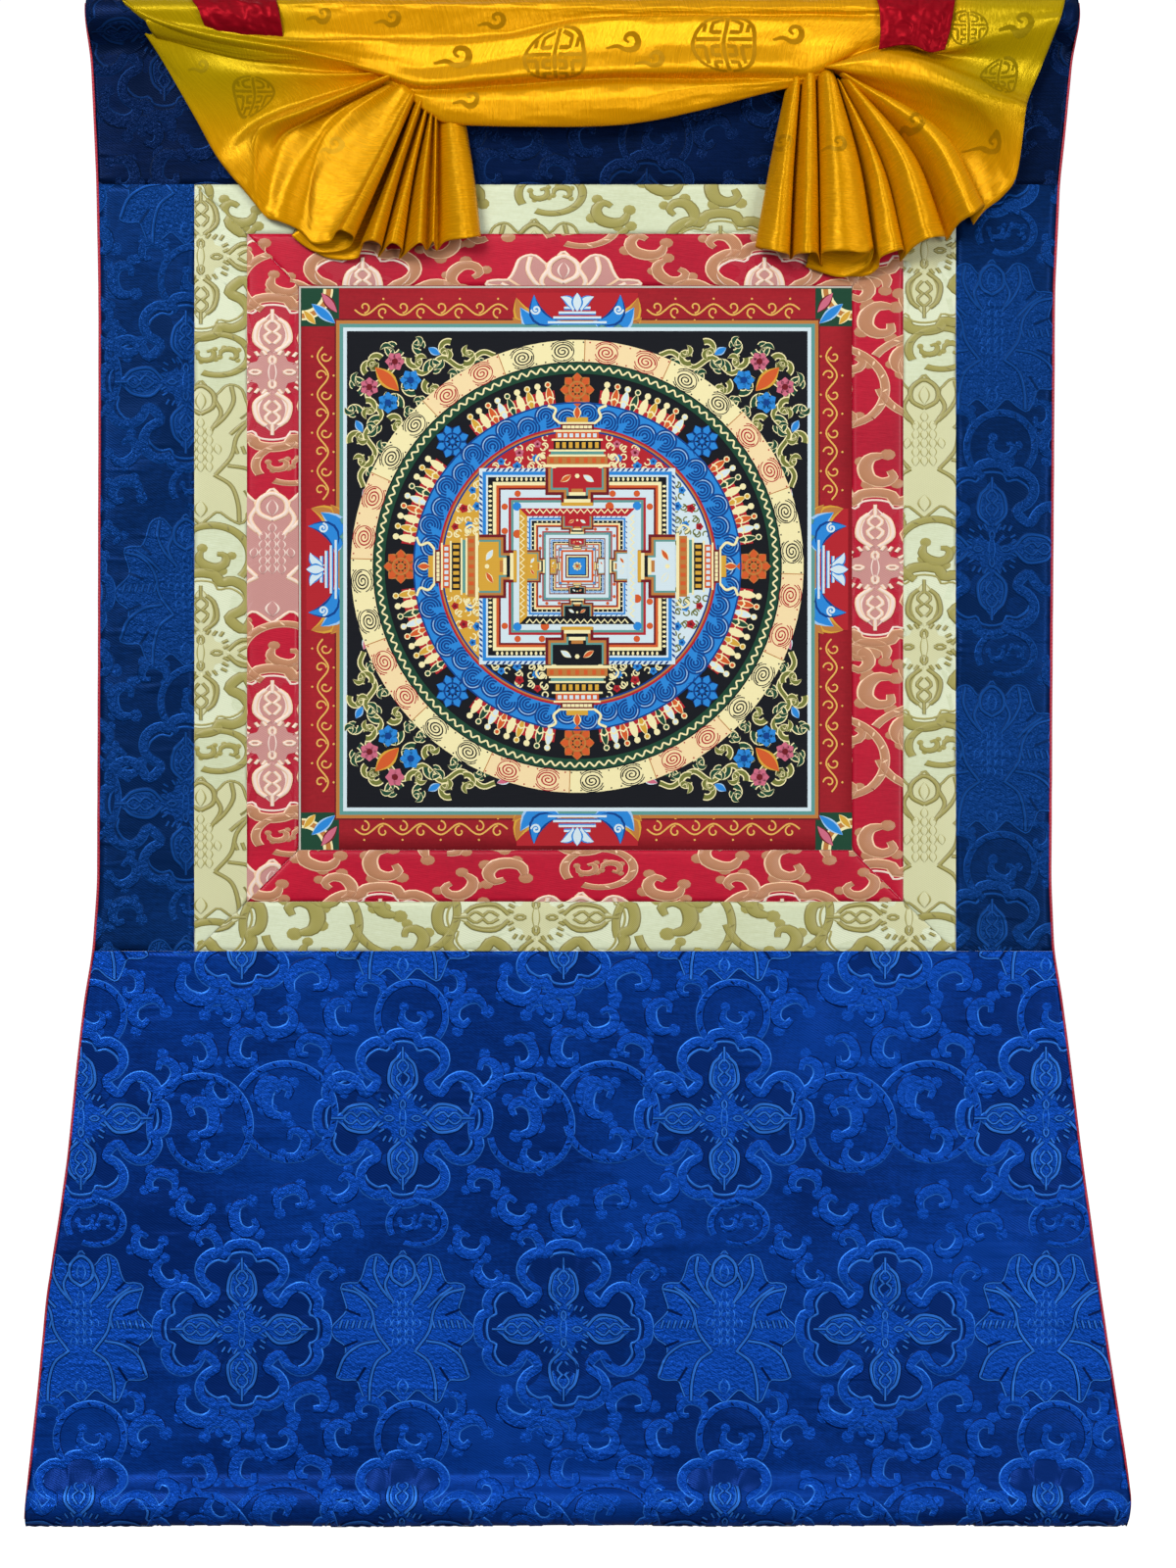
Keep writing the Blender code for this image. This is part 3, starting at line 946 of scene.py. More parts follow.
def crease_group(tree: bpy.types.NodeTree) -> None:
    """Soft level creases of rolled-up cloth: thin lines where a stretched noise passes its middle.

    Args:
        tree: The group, still empty.
    """
    wiring, _, put = open_group(tree, {}, ("Height",))
    place = wiring.add("TexCoord").outputs["Object"]
    ridges = []
    for turn, wide, tall, width in ((0.05, 5.0, 40.0, 0.12), (-0.07, 9.0, 66.0, 0.10)):
        turned = wiring.mapped(place, Rotation=(0.0, turn, 0.0))
        noise = wiring.noise(wiring.mapped(turned, Scale=(wide, 1.0, tall)), 1.0, 1.0)
        off = wiring.math("ABSOLUTE", wiring.math("SUBTRACT", noise, 0.5))
        ridge = wiring.ramp(off, (0.0, width), (1.0, 0.0), interpolation_type="SMOOTHSTEP")
        patchy = wiring.ramp(wiring.noise(place, 14.0 + wide, 1.0), (0.50, 0.70), (0.0, 1.0))
        ridges.append(wiring.times(ridge, patchy))
    wiring.feed(put, {"Height": wiring.plus(*ridges)})


def age_group(tree: bpy.types.NodeTree) -> None:
    """Uneven tone of used cloth: broad clouds, and a finer mottle.

    Args:
        tree: The group, still empty.
    """
    wiring, given, put = open_group(tree, {"Size": 9.0}, ("Tone", "Mottle"))
    place = wiring.add("TexCoord").outputs["Object"]
    tone = wiring.noise(place, given["Size"], 3.0)
    wiring.feed(put, {"Tone": tone, "Mottle": wiring.noise(place, 420.0)})


@dataclass(frozen=True)
class Finish:
    """Cloth, thread or paint: its colour, gloss and weave.

    A shade makes the colour vary with the age and the streaks; without one it stays even. The
    turned colour is painted bounce light: faces turned away from the key lamp, down and to the right,
    take it as a lighter orange that stands in for light bounced inside shaded folds. The thin colour
    is an olive tint towards the veil's two upper corners. Relief and crease are heights in millimetres.
    """

    name: str
    colour: str
    shade: str | None = None
    roughness: float = 0.5
    gloss: float = 0.5
    sheen: float = 0.0
    threads: float = 900.0
    slant: float = 0.0
    breaks: float = 0.6
    relief: float = 0.05
    vary: float = 0.5
    metal: float = 0.0
    grain: float = 0.0
    crease: float = 0.0
    fineness: float = 1.0
    # Painted bounce light: colour of the faces turned away from the key lamp
    turned: str | None = None
    # Olive tint towards the veil's two upper corners
    thin: str | None = None
    shine: str = "ffffff"

    def material(self) -> bpy.types.Material:
        """The material, made when it is first asked for."""
        return bpy.data.materials.get("look_" + self.name) or self.build()

    def build(self) -> bpy.types.Material:
        """Principled shader with the weave as bump and uneven roughness.

        Returns:
            The new material.
        """
        made = bpy.data.materials.new("look_" + self.name)
        made.use_nodes = True
        made.diffuse_color = linear(self.colour)
        wiring = Wiring(made.node_tree)
        threads = {
            "Threads": self.threads, "Slant": self.slant, "Breaks": self.breaks,
            "Grain": self.grain, "Fineness": self.fineness,
        }
        weave = wiring.add("Group", threads, node_tree=Effect.WEAVE.group()).outputs
        height = wiring.times(weave["Height"], self.relief * MM)
        if self.crease:
            crease = wiring.add("Group", node_tree=Effect.CREASE.group()).outputs[0]
            height = wiring.plus(height, wiring.times(crease, self.crease * MM))
        bump = wiring.add("Bump", {"Height": height, "Distance": 1.0, "Strength": 1.0})
        rough = wiring.math("MULTIPLY_ADD", weave["Streak"], 0.22, self.roughness - 0.11)
        wiring.feed(made.node_tree.nodes["Principled BSDF"], {
            "Base Color": self.tone(wiring, weave["Streak"]),
            "Specular IOR Level": self.gloss, "Specular Tint": linear(self.shine),
            "Sheen Weight": self.sheen, "Sheen Roughness": 0.4, "Metallic": self.metal,
            "Roughness": rough, "Normal": bump.outputs[0],
        })
        return made

    def tone(self, wiring: Wiring, streak: Socket) -> Socket | tuple[float, float, float, float]:
        """Colour of the shader: even, or between the shade and the colour by age and streaks.

        Args:
            wiring: Wiring of the material.
            streak: Streaks of its weave.

        Returns:
            The colour, or the socket that it comes from.
        """
        if self.shade is None:
            return linear(self.colour)
        age = wiring.add("Group", node_tree=Effect.AGE.group()).outputs
        both = wiring.plus(age["Tone"], wiring.times(age["Mottle"], 0.35))
        both = wiring.plus(both, wiring.times(streak, 0.5))
        share = wiring.ramp(both, (0.93 - self.vary / 2, 0.93 + self.vary / 2), (0.0, 1.0))
        mixed = wiring.mix(share, linear(self.shade), linear(self.colour))
        # Painted bounce light on faces turned away from the key lamp; then the olive corner tint
        for attribute, colour in ((TURNED, self.turned), (THIN, self.thin)):
            if colour:
                share = wiring.add("Attribute", attribute_name=attribute).outputs["Fac"]
                mixed = wiring.mix(share, mixed, linear(colour))
        return mixed


@dataclass(frozen=True)
class Fabric:
    """Finishes of a cloth: its ground and, by their inks' numbers, those of its figures."""

    slot: str
    ground: Finish
    threads: tuple[Finish, ...]

    @classmethod
    def of_rows(cls, slot: str, *rows: tuple) -> "Fabric":
        """Fabric whose ground and threads are finishes with these values."""
        ground, *threads = (Finish(*row) for row in rows)
        return cls(slot, ground, tuple(threads))

    def hang(
        self, node: str, cloth: FlatCloth, figure: Figure, flat: Point, pitch: float,
        layer: str = "figures", held: str = "hung",
    ) -> None:
        """Makes a cloth and its figures, and hides the node of the solid model that they stand for.

        Args:
            node: Node of the solid model that the cloth stands for.
            cloth: Its surface.
            figure: Its figures, already cut.
            flat: Width and length that the cloth was cut to; not used.
            pitch: Size of the cells of its mesh.
            layer: What its figures are called.
            held: How the cloth is held; not used.
        """
        piece = skin_piece(node + "_cloth", *cloth.skin(pitch))
        piece.data.materials.append(self.ground.material())
        laid = figure_piece(f"{node}_{layer}", figure, cloth, self.threads)
        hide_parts(node)
        for made in (piece, laid):
            log.info("%s: %d faces", made.name, len(made.data.polygons))


# Brocade ------------------------------------------------------------------------------------------
class Thread(IntEnum):
    """What a brocade's figures are woven in, in the order of its fabric's threads. In the blue
    brocades the edge and the bright threads are painted shadow and painted highlight round the raised
    figures; in the cream and red ones they are outline threads.
    """

    VINE = 0
    EDGE = 1
    PETAL = 2
    BRIGHT = 3
    FIELD = 4


# Curled clouds in one repeat: x, down, size, turn and, where mirrored, -1
CLOUDS = (
    (79, 69, 17, 200), (113, 88, 18, 20, -1), (172, 104, 19, 90), (218, 86, 18, 150, -1),
    (266, 66, 17, 330), (264, 116, 18, 180), (66, 124, 17, 10, -1), (126, 128, 16, 250),
    (224, 127, 16, 300, -1), (92, 158, 16, 60), (252, 162, 16, 120, -1), (118, -4, 21, 270),
    (138, 38, 15, 40), (206, -22, 20, 90, -1), (216, 22, 17, 300), (124, 292, 22, 30),
    (146, 326, 19, 190, -1), (236, 292, 23, 150, -1), (204, 326, 19, 350), (172, 362, 20, 110),
    (268, 322, 19, 70, -1), (232, 362, 18, 210), (264, 384, 18, 20, -1), (66, 326, 20, 160),
    (48, 296, 15, 260, -1), (82, 382, 20, 310), (120, 366, 18, 240, -1), (146, 404, 16, 60),
    (-36, 300, 16, 200), (196, 402, 17, 100, -1),
)


@dataclass(frozen=True)
class BrocadeRepeat:
    """One repeat of the brocade, drawn in steps: medallions, lotuses, rings and curled clouds.

    A medallion is at the middle, with a lotus below it, and half a repeat to the right a pair of
    rings with the next medallion below them.
    """

    width: float = 328.0
    height: float = 430.0
    pitch: float = 4.2
    vine_crown: float = 0.52 * MM
    vine_half: float = 5.6
    petal_lift: float = 0.10 * MM
    petal_crown: float = 0.32 * MM
    scale_step: float = 0.06 * MM
    line_lift: float = 0.46 * MM
    line_crown: float = 0.40 * MM
    # In the blue brocades each vine's bright rim is a painted highlight and its dark rim a painted shadow
    # of its relief
    rims: tuple[Thread, Thread] = (Thread.BRIGHT, Thread.EDGE)

    def vine(self, path: Array, half: Array | float, closed: bool = False) -> Figure:
        """Stroke of the vines, edged with its two rims: in the blue brocades a painted highlight on one
        side and a painted shadow on the other.
        """
        return band(path, half, Thread.VINE, self.rims, self.vine_crown, 0.0, 0.22, closed)

    def vein(self, points: Sequence[Point] | Array, half: float = 2.1) -> Figure:
        """Bright line between two dark ones, on a curve through some points; in the blue brocades a painted
        highlight between painted shadow lines.
        """
        path = even(spline(np.array(points, float), 6), self.pitch)
        return band(path, half, Thread.BRIGHT, Thread.EDGE, self.line_crown, self.line_lift, 0.45)

    def petal(
        self, start: Point, end: Point, half: float, extra: float = 0.0, peak: float = 0.5
    ) -> Figure:
        """Petal with a bright outline, in the blue brocades a painted highlight."""
        lift = self.petal_lift + extra
        return leaf(start, end, half, Thread.PETAL, Thread.BRIGHT, 0.0, lift, self.petal_crown, peak, 11)

    def scale(self, start: Point, end: Point, half: float) -> Figure:
        """Small petal that lies on a large one."""
        return self.petal(start, end, half, self.petal_crown + self.scale_step)

    @drawing
    def curl(self, size: float) -> Iterator[Figure]:
        """Curled cloud: a thick stroke bent in to a round head, with lobes along its back.

        Args:
            size: Half its length.

        Yields:
            The stroke and the lobes.
        """
        line = [(-1.0, 0.1), (-0.85, 0.62), (-0.3, 0.86), (0.4, 0.68), (0.66, 0.1), (0.35, -0.36)]
        path = even(spline(np.array([*line, (-0.08, -0.2)]) * size, 6), self.pitch)
        swell = 0.5 + 0.6 * np.sin(np.pi * np.linspace(0, 1, len(path)) ** 0.8)
        yield self.vine(path, 0.33 * size * swell)
        for x, down, radius in (
            (-1.05, -0.12, 0.34), (-0.62, 1.02, 0.30), (0.78, 0.72, 0.33), (0.72, -0.52, 0.30),
        ):
            lobe = disc(radius * size, Thread.VINE, 0.02 * MM, self.vine_crown * 0.7, 9)
            yield lobe.placed((x * size, down * size))

    def cloud(self, x: float, down: float, size: float, turn: float, flip: int = 1) -> Figure:
        """Curled cloud in its place."""
        return self.curl(size).placed((x, down), turn, wide=flip)

    @drawing
    def bud(self) -> Iterator[Figure]:
        """Bud of the medallion, to the right of its middle: a petal with curved and short veins.

        Yields:
            The petal and the veins.
        """
        yield self.petal((22, 0), (70, 0), 15, peak=0.45)
        for half, *points in (
            (2.3, (24, 3), (36, 14), (54, 12), (62, 5)), (1.7, (33, 1.5), (41, 6.5), (47, 1)),
            (1.6, (46, 1), (53, 6), (60, 1)),
        ):
            for side in (-1, 1):
                yield self.vein(np.array(points) * [1, side], half)
        yield self.vein([(58, 0), (66, 0), (73, 0)], 1.6)
        for side, count in ((1, 3), (-1, 2)):
            for k in range(count):
                yield self.vein([(20 - k, side * (5 + 6 * k)), (25 - k, side * (8 + 6 * k))], 1.6)
        for side in (1, -1):
            yield self.vein([(9, 0), (14, 3 * side), (19, 0)], 1.5)

    @drawing
    def medallion(self) -> Iterator[Figure]:
        """Lobed cross-shaped frame round four buds that meet in a small fringed cross.

        Yields:
            Its ground, frame, bright line, heart and buds, and the small petal on top.
        """
        side = [(87, 0), (84, 13), (76, 17), (78, 28), (70, 40), (58, 43), (47, 37), (38, 25)]
        quarter = np.array(side + [(b, a) for a, b in side[:0:-1]], float)
        turns = [quarter, quarter[:, ::-1] * [-1, 1], -quarter, quarter[:, ::-1] * [1, -1]]
        outline = even(spline(np.vstack(turns), 5, closed=True), self.pitch)
        yield patch(outline * 0.95, Thread.FIELD, 0.03 * MM)
        yield self.vine(outline, self.vine_half, closed=True)
        bright = Thread.BRIGHT, None, self.line_crown, self.petal_lift
        yield band(outline * 0.90, 1.1, *bright, closed=True)
        heart = [26 + 8 * math.cos(4 * turn) for turn in np.linspace(0, 2 * np.pi, 41)]
        yield polar(np.array(heart), Thread.PETAL, self.petal_lift, self.petal_crown)
        yield self.bud().around(4)
        yield self.petal((0, -15), (0, 15), 3.6, self.petal_crown + 0.10 * MM)

    @drawing
    def lotus(self) -> Iterator[Figure]:
        """Lotus in side view: one lobed shape with veins, a heart of scales and a bud above it.

        Yields:
            The shape, its rim, the gaps between its petals, the veins, the scales and the bud.
        """
        half = [
            (1, -81), (8, -71), (14, -66), (24, -77), (36, -73), (41, -58), (46, -48), (54, -48),
            (64, -45), (61, -32), (58, -20), (64, -12), (74, -1), (70, 10), (61, 16), (59, 24),
            (64, 36), (69, 49), (60, 53), (48, 53), (44, 62), (37, 76), (26, 71), (16, 63),
            (8, 69), (1, 76),
        ]
        outline = even(spline(mirrored(half), 4, closed=True), self.pitch)
        crown, lift = self.petal_crown, self.petal_lift
        yield patch(outline, Thread.PETAL, lift, crown, 7)
        yield band(outline * 0.985, 1.4, Thread.BRIGHT, Thread.EDGE, crown, lift, 0.5, True)
        # Dark lines in the gaps between the petals; in the blue brocades, painted shade between them
        for gap in (
            ((14, -65), (12, -53)), ((45, -48), (35, -39)), ((58, -20), (43, -14)),
            ((60, 18), (46, 12)), ((47, 53), (38, 39)),
        ):
            for side in (-1, 1):
                path = even(np.array(gap, float) * [side, 1], self.pitch)
                yield band(path, 1.2, Thread.EDGE, None, 0.0, lift + crown + 0.05 * MM)
        for vein in (
            ((27, -74), (29, -58), (22, -42), (12, -30)),
            ((62, -41), (45, -36), (32, -20), (27, 2), (13, 22)),
            ((51, -43), (38, -34), (26, -22)), ((67, 47), (59, 28), (43, 16), (24, 12)),
            ((34, 73), (33, 54), (27, 34), (12, 22)), ((13, -58), (18, -44), (9, -26)),
        ):
            for side in (1, -1):
                yield self.vein(np.array(vein) * [side, 1])
        for k in range(6):
            x = 30 + 6.4 * k
            for side in (-1, 1):
                yield self.vein([(x * side, -9), ((x + 2.5) * side, -1)], 1.8)
        for row in range(6):
            y = 14 - row * 9.5
            for k in range(-2, 3):
                if abs(k) * 8 <= 18 - abs(row - 2) * 4:
                    yield self.scale((k * 8, y + 5), (k * 7, y - 7), 3.6)
        loop = [(0, -44), (11, -52), (11, -66), (0, -75), (-11, -66), (-11, -52), (0, -44)]
        yield self.vein(loop, 2.4)
        yield self.scale((0, -48), (0, -68), 5)
        yield self.scale((0, 50), (0, 68), 6)

    @drawing
    def rope(self, radius: float, start: float, end: float, to_radius: float) -> Iterator[Figure]:
        """Ring stem with slanting strands along it.

        Args:
            radius: Its first radius.
            start: Its first bearing in degrees.
            end: Its last bearing.
            to_radius: Its last radius.

        Yields:
            The stem and the strands.
        """
        path = even(arc(radius, start, end, to_radius), self.pitch)
        yield self.vine(path, self.vine_half * 0.72)
        slope = np.gradient(path, axis=0)
        for k in range(6, len(path) - 4, 4):
            lean = slope[k] / np.linalg.norm(slope[k])
            tip = lean * 2.2 + np.array([-lean[1], lean[0]]) * 2.6
            ends, lift = (path[k] - tip, path[k] + tip), self.vine_crown * 0.9
            yield leaf(*ends, 0.9, Thread.EDGE, lift=lift, crown=0.1 * MM, steps=4)

    @drawing
    def figure(self) -> Iterator[Figure]:
        """One whole repeat.

        Yields:
            Clouds, the crossed rings, the loops with their curls, two medallions and the lotus.
        """
        half = self.width / 2, self.height / 2
        yield from (self.cloud(*cloud) for cloud in CLOUDS)
        for stem, at, turn in (
            ((52, 165, 400, 50), (-42, 8), 0), ((50, 40, 160, 34), (-42, 8), 0),
            ((53, 190, 505, 44), (46, -4), 20),
        ):
            yield self.rope(*stem).placed(at, turn).placed((half[0], 0))
        yield self.rope(29, 150, 480, 27).placed(tall=0.8).placed((15, 107))
        yield self.cloud(-9, -2, 9, 0).placed((15, 107))
        yield self.cloud(11, 1, 9, 180, -1).placed((15, 107))
        yield self.rope(36, 120, 400, 33).placed((10, -104))
        yield self.cloud(14, -104, 15, 30)
        yield self.cloud(half[0] - 8, -114, 17, 200)
        yield self.medallion()
        yield self.medallion().placed(half)
        yield self.lotus().placed((0, half[1]))

    @drawing
    def spread(self, region: Region, origin: Point, scale: Point, limits: Point) -> Iterator[Figure]:
        """Repeats laid over a region and cut to it, in metres.

        Args:
            region: Where the cloth shows.
            origin: X and down of one medallion's middle.
            scale: Scale across and down.
            limits: Least and greatest x of the region.

        Yields:
            The cut repeats, column by column.
        """
        one = self.figure().placed(wide=scale[0] * STEP, tall=scale[1] * STEP)
        steps = self.width * scale[0] * STEP, self.height * scale[1] * STEP
        columns, rows = (
            range(math.floor((low - start) / step) - 1, math.floor((high - start) / step) + 2)
            for start, step, (low, high) in zip(origin, steps, (limits, (region.top, region.foot)))
        )
        for i in columns:
            for j in rows:
                yield region.cut(one.placed((origin[0] + i * steps[0], origin[1] + j * steps[1])))


def blue_brocade(name: str, ground: str, shade: str, vine: str, edge: str, bright: str) -> Fabric:
    """Blue brocade in one ground and three thread colours.

    Args:
        name: Start of its finishes' names.
        ground: Colour of the ground.
        shade: Its darker tone, and the colour inside the medallions.
        vine: Colour of the vines and petals.
        edge: Colour of their dark edges, painted shadow along the raised figures.
        bright: Colour of their bright lines, painted highlight on the raised figures.

    Returns:
        The fabric.
    """
    rows = (
        ("ground", ground, shade, 620, 0.09, 0.0), ("vine", vine, None, 700, 0.12, 13.0),
        ("edge", edge, None, 900, 0.06, 0.0), ("petal", vine, None, 620, 0.12, 14.0),
        ("bright", bright, None, 900, 0.06, 0.0), ("field", shade, None, 620, 0.09, 0.0),
    )
    return Fabric.of_rows("blue_brocade", *(
        (f"{name}_{part}", colour, second, 0.38, 0.06, 0.0, count, 0.6, 1.5, relief, 0.3, 0.45, grain, 0.55)
        for part, colour, second, count, relief, grain in rows
    ))


BLUE_BROCADE = blue_brocade("blue", "083c96", "052a70", "0b48ae", "031d52", "2c70d0")
# The side and top panels take darker copies of the same blue: painted shade for light that falls off
# upwards, darkest on the top panel under the veil
SIDE_BROCADE = blue_brocade("side_blue", "083270", "052554", "09387a", "062858", "12468e")
TOP_BROCADE = blue_brocade("top_blue", "051b44", "041534", "061f4a", "04142f", "0a2a5a")
CREAM_BROCADE = Fabric.of_rows(
    "cream_brocade",
    ("cream_ground", "dae3c4", "c8cfa8", 0.42, 0.45, 0.1, 700, 0.2, 0.8, 0.03),
    ("olive_vine", "a0984e", None, 0.40, 0.55, 0.1, 760, 1.0, 0.8, 0.06),
    ("olive_edge", "827a38", None, 0.38, 0.55, 0.1, 900, -1.0, 0.8, 0.06),
    ("cream_petal", "d2d2a4", None, 0.38, 0.5, 0.1, 760, 0.6, 0.8, 0.07),
    ("cream_bright", "a29a54", None, 0.34, 0.55, 0.1, 900, -1.0, 0.6, 0.05),
    ("cream_field", "dbe2c2", None, 0.42, 0.5, 0.1, 700, 0.4, 0.8, 0.06),
)
RED_BROCADE = Fabric.of_rows(
    "red_brocade",
    ("red_ground", "c40a30", "a40828", 0.38, 0.3, 0.0, 700, 0.2, 0.8, 0.03),
    ("gold_vine", "b87e58", None, 0.38, 0.6, 0.1, 760, 1.0, 0.9, 0.07),
    ("gold_edge", "f0c8a0", None, 0.34, 0.6, 0.1, 900, -1.0, 0.8, 0.06),
    ("rose_petal", "c58c86", None, 0.38, 0.5, 0.1, 760, 0.6, 0.8, 0.07),
    ("rose_bright", "ecd6c8", None, 0.34, 0.55, 0.1, 900, -1.0, 0.6, 0.05),
    ("rose_field", "b40a2c", None, 0.40, 0.5, 0.1, 700, 0.4, 0.8, 0.06),
)


# Pieces of the mount ------------------------------------------------------------------------------
def upright(x: float) -> Edge:
    """Edge that is at one x at every drop."""
    return lambda drop: np.full_like(drop, x)


@dataclass(frozen=True)
class Rectangle:
    """Rectangle on the cloth's plane."""

    left: float
    right: float
    top: float
    foot: float

    @classmethod
    def of_nodes(cls, *nodes: str) -> "Rectangle":
        """Rectangle that holds these nodes of the solid model.

        Args:
            nodes: Names of the nodes.

        Returns:
            The rectangle.
        """
        boxes = [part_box(node) for node in nodes]
        return cls(
            min(low.x for low, _ in boxes), max(high.x for _, high in boxes),
            -max(high.z for _, high in boxes), -min(low.z for low, _ in boxes),
        )

    def region(self) -> Region:
        """The whole of it."""
        return Region(self.top, self.foot, upright(self.left), upright(self.right))

    def strip(self, inner: "Rectangle", side: str) -> Region:
        """Mitred strip on one side between this rectangle and an inner one.

        Args:
            inner: The inner rectangle.
            side: Which side: top, bottom, left or right.

        Returns:
            Region whose ends follow the lines between the corners.
        """
        over, under = inner.top - self.top, inner.foot - self.foot
        in_left, in_right = inner.left - self.left, inner.right - self.right

        def share(drop: Array) -> Array:
            """Share of the way in that the mitres have come at a drop."""
            from_top = np.clip((drop - self.top) / over, 0, 1)
            from_foot = np.clip((drop - self.foot) / under, 0, 1)
            return {"top": from_top, "bottom": from_foot}.get(side, np.minimum(from_top, from_foot))

        def left_end(drop: Array) -> Array:
            """Left mitre of the top and bottom strips."""
            return self.left + SEAM + in_left * share(drop)

        def right_end(drop: Array) -> Array:
            """Right mitre of the top and bottom strips."""
            return self.right - SEAM + in_right * share(drop)

        def left_inner(drop: Array) -> Array:
            """Inner edge of the left strip, with its mitres."""
            return np.maximum(self.left + in_left * share(drop) - SEAM, self.left)

        def right_inner(drop: Array) -> Array:
            """Inner edge of the right strip, with its mitres."""
            return np.minimum(self.right + in_right * share(drop) + SEAM, self.right)

        return {
            "top": Region(self.top, inner.top - SEAM, left_end, right_end),
            "bottom": Region(inner.foot + SEAM, self.foot, left_end, right_end),
            "left": Region(self.top + SEAM, self.foot - SEAM, upright(self.left), left_inner),
            "right": Region(self.top + SEAM, self.foot - SEAM, right_inner, upright(self.right)),
        }[side]


@dataclass(frozen=True)
class Outline:
    """Outer edges of the blue panels, read from the solid model and smoothed."""

    drops: Array
    lefts: Array
    rights: Array
    narrowest: float = 0.305
    spread: int = 8

    @classmethod
    def from_nodes(cls) -> "Outline":
        """Outline from the outermost vertices at each level of the panels, averaged over 16 mm.

        Returns:
            The outline, at every millimetre of the drop.
        """
        found = []
        for name in ("top_panel", "left_panel", "right_panel", "bottom_panel"):
            vertices = frame["nodes"][name].data.vertices
            places = np.zeros(len(vertices) * 3, np.float32)
            vertices.foreach_get("co", places)
            found.append(places.reshape(-1, 3))
        x, _, z = np.concatenate(found).T
        levels, at = np.unique(np.round(-z, 3), return_inverse=True)
        left, right = np.full(len(levels), np.inf), np.full(len(levels), -np.inf)
        np.minimum.at(left, at, x)
        np.maximum.at(right, at, x)
        wide = (left < -cls.narrowest) & (right > cls.narrowest)
        drops = np.arange(round(HEIGHT / MM) + 1) * MM
        count = 2 * cls.spread + 1
        lines = [np.interp(drops, levels[wide], edge[wide]) for edge in (left, right)]
        padded = [np.pad(line, cls.spread, mode="edge") for line in lines]
        return cls(drops, *(np.convolve(line, np.ones(count) / count, "valid") for line in padded))

    def left(self, drop: Array) -> Array:
        """X of the left edge at a drop."""
        return np.interp(drop, self.drops, self.lefts)

    def right(self, drop: Array) -> Array:
        """X of the right edge at a drop."""
        return np.interp(drop, self.drops, self.rights)


PANEL_WRINKLES = tuple(Wrinkle(*values) for values in (
    (660, 1272, 0.085, 2.4, 1.1, -0.07), (640, 1284, 0.080, 2.6, -0.9, -0.07),
    (505, 1250, 0.060, 2.6, 0.9, 0.13), (620, 1158, 0.050, 3.0, 0.8, 0.02),
    (230, 1156, 0.060, 3.0, 0.9, 0.01), (240, 1205, 0.055, 4.0, -0.8, 0.05),
    (180, 1400, 0.060, 4.0, 0.8, -0.03), (560, 1416, 0.070, 7.0, 1.0, -0.12),
    (640, 1392, 0.070, 6.0, -0.8, -0.04), (870, 1300, 0.060, 3.0, 0.7, 0.05),
    (950, 1185, 0.070, 3.5, 0.8, -0.05), (980, 1455, 0.080, 7.0, 0.9, 0.04),
    (250, 1470, 0.090, 8.0, 1.0, -0.02), (600, 1478, 0.120, 8.0, 0.8, 0.02),
    (350, 1010, 0.060, 5.0, 0.7, 0.04), (760, 1000, 0.080, 5.0, 0.6, -0.03),
    (590, 1090, 0.050, 6.0, -0.6, 0.30),
))


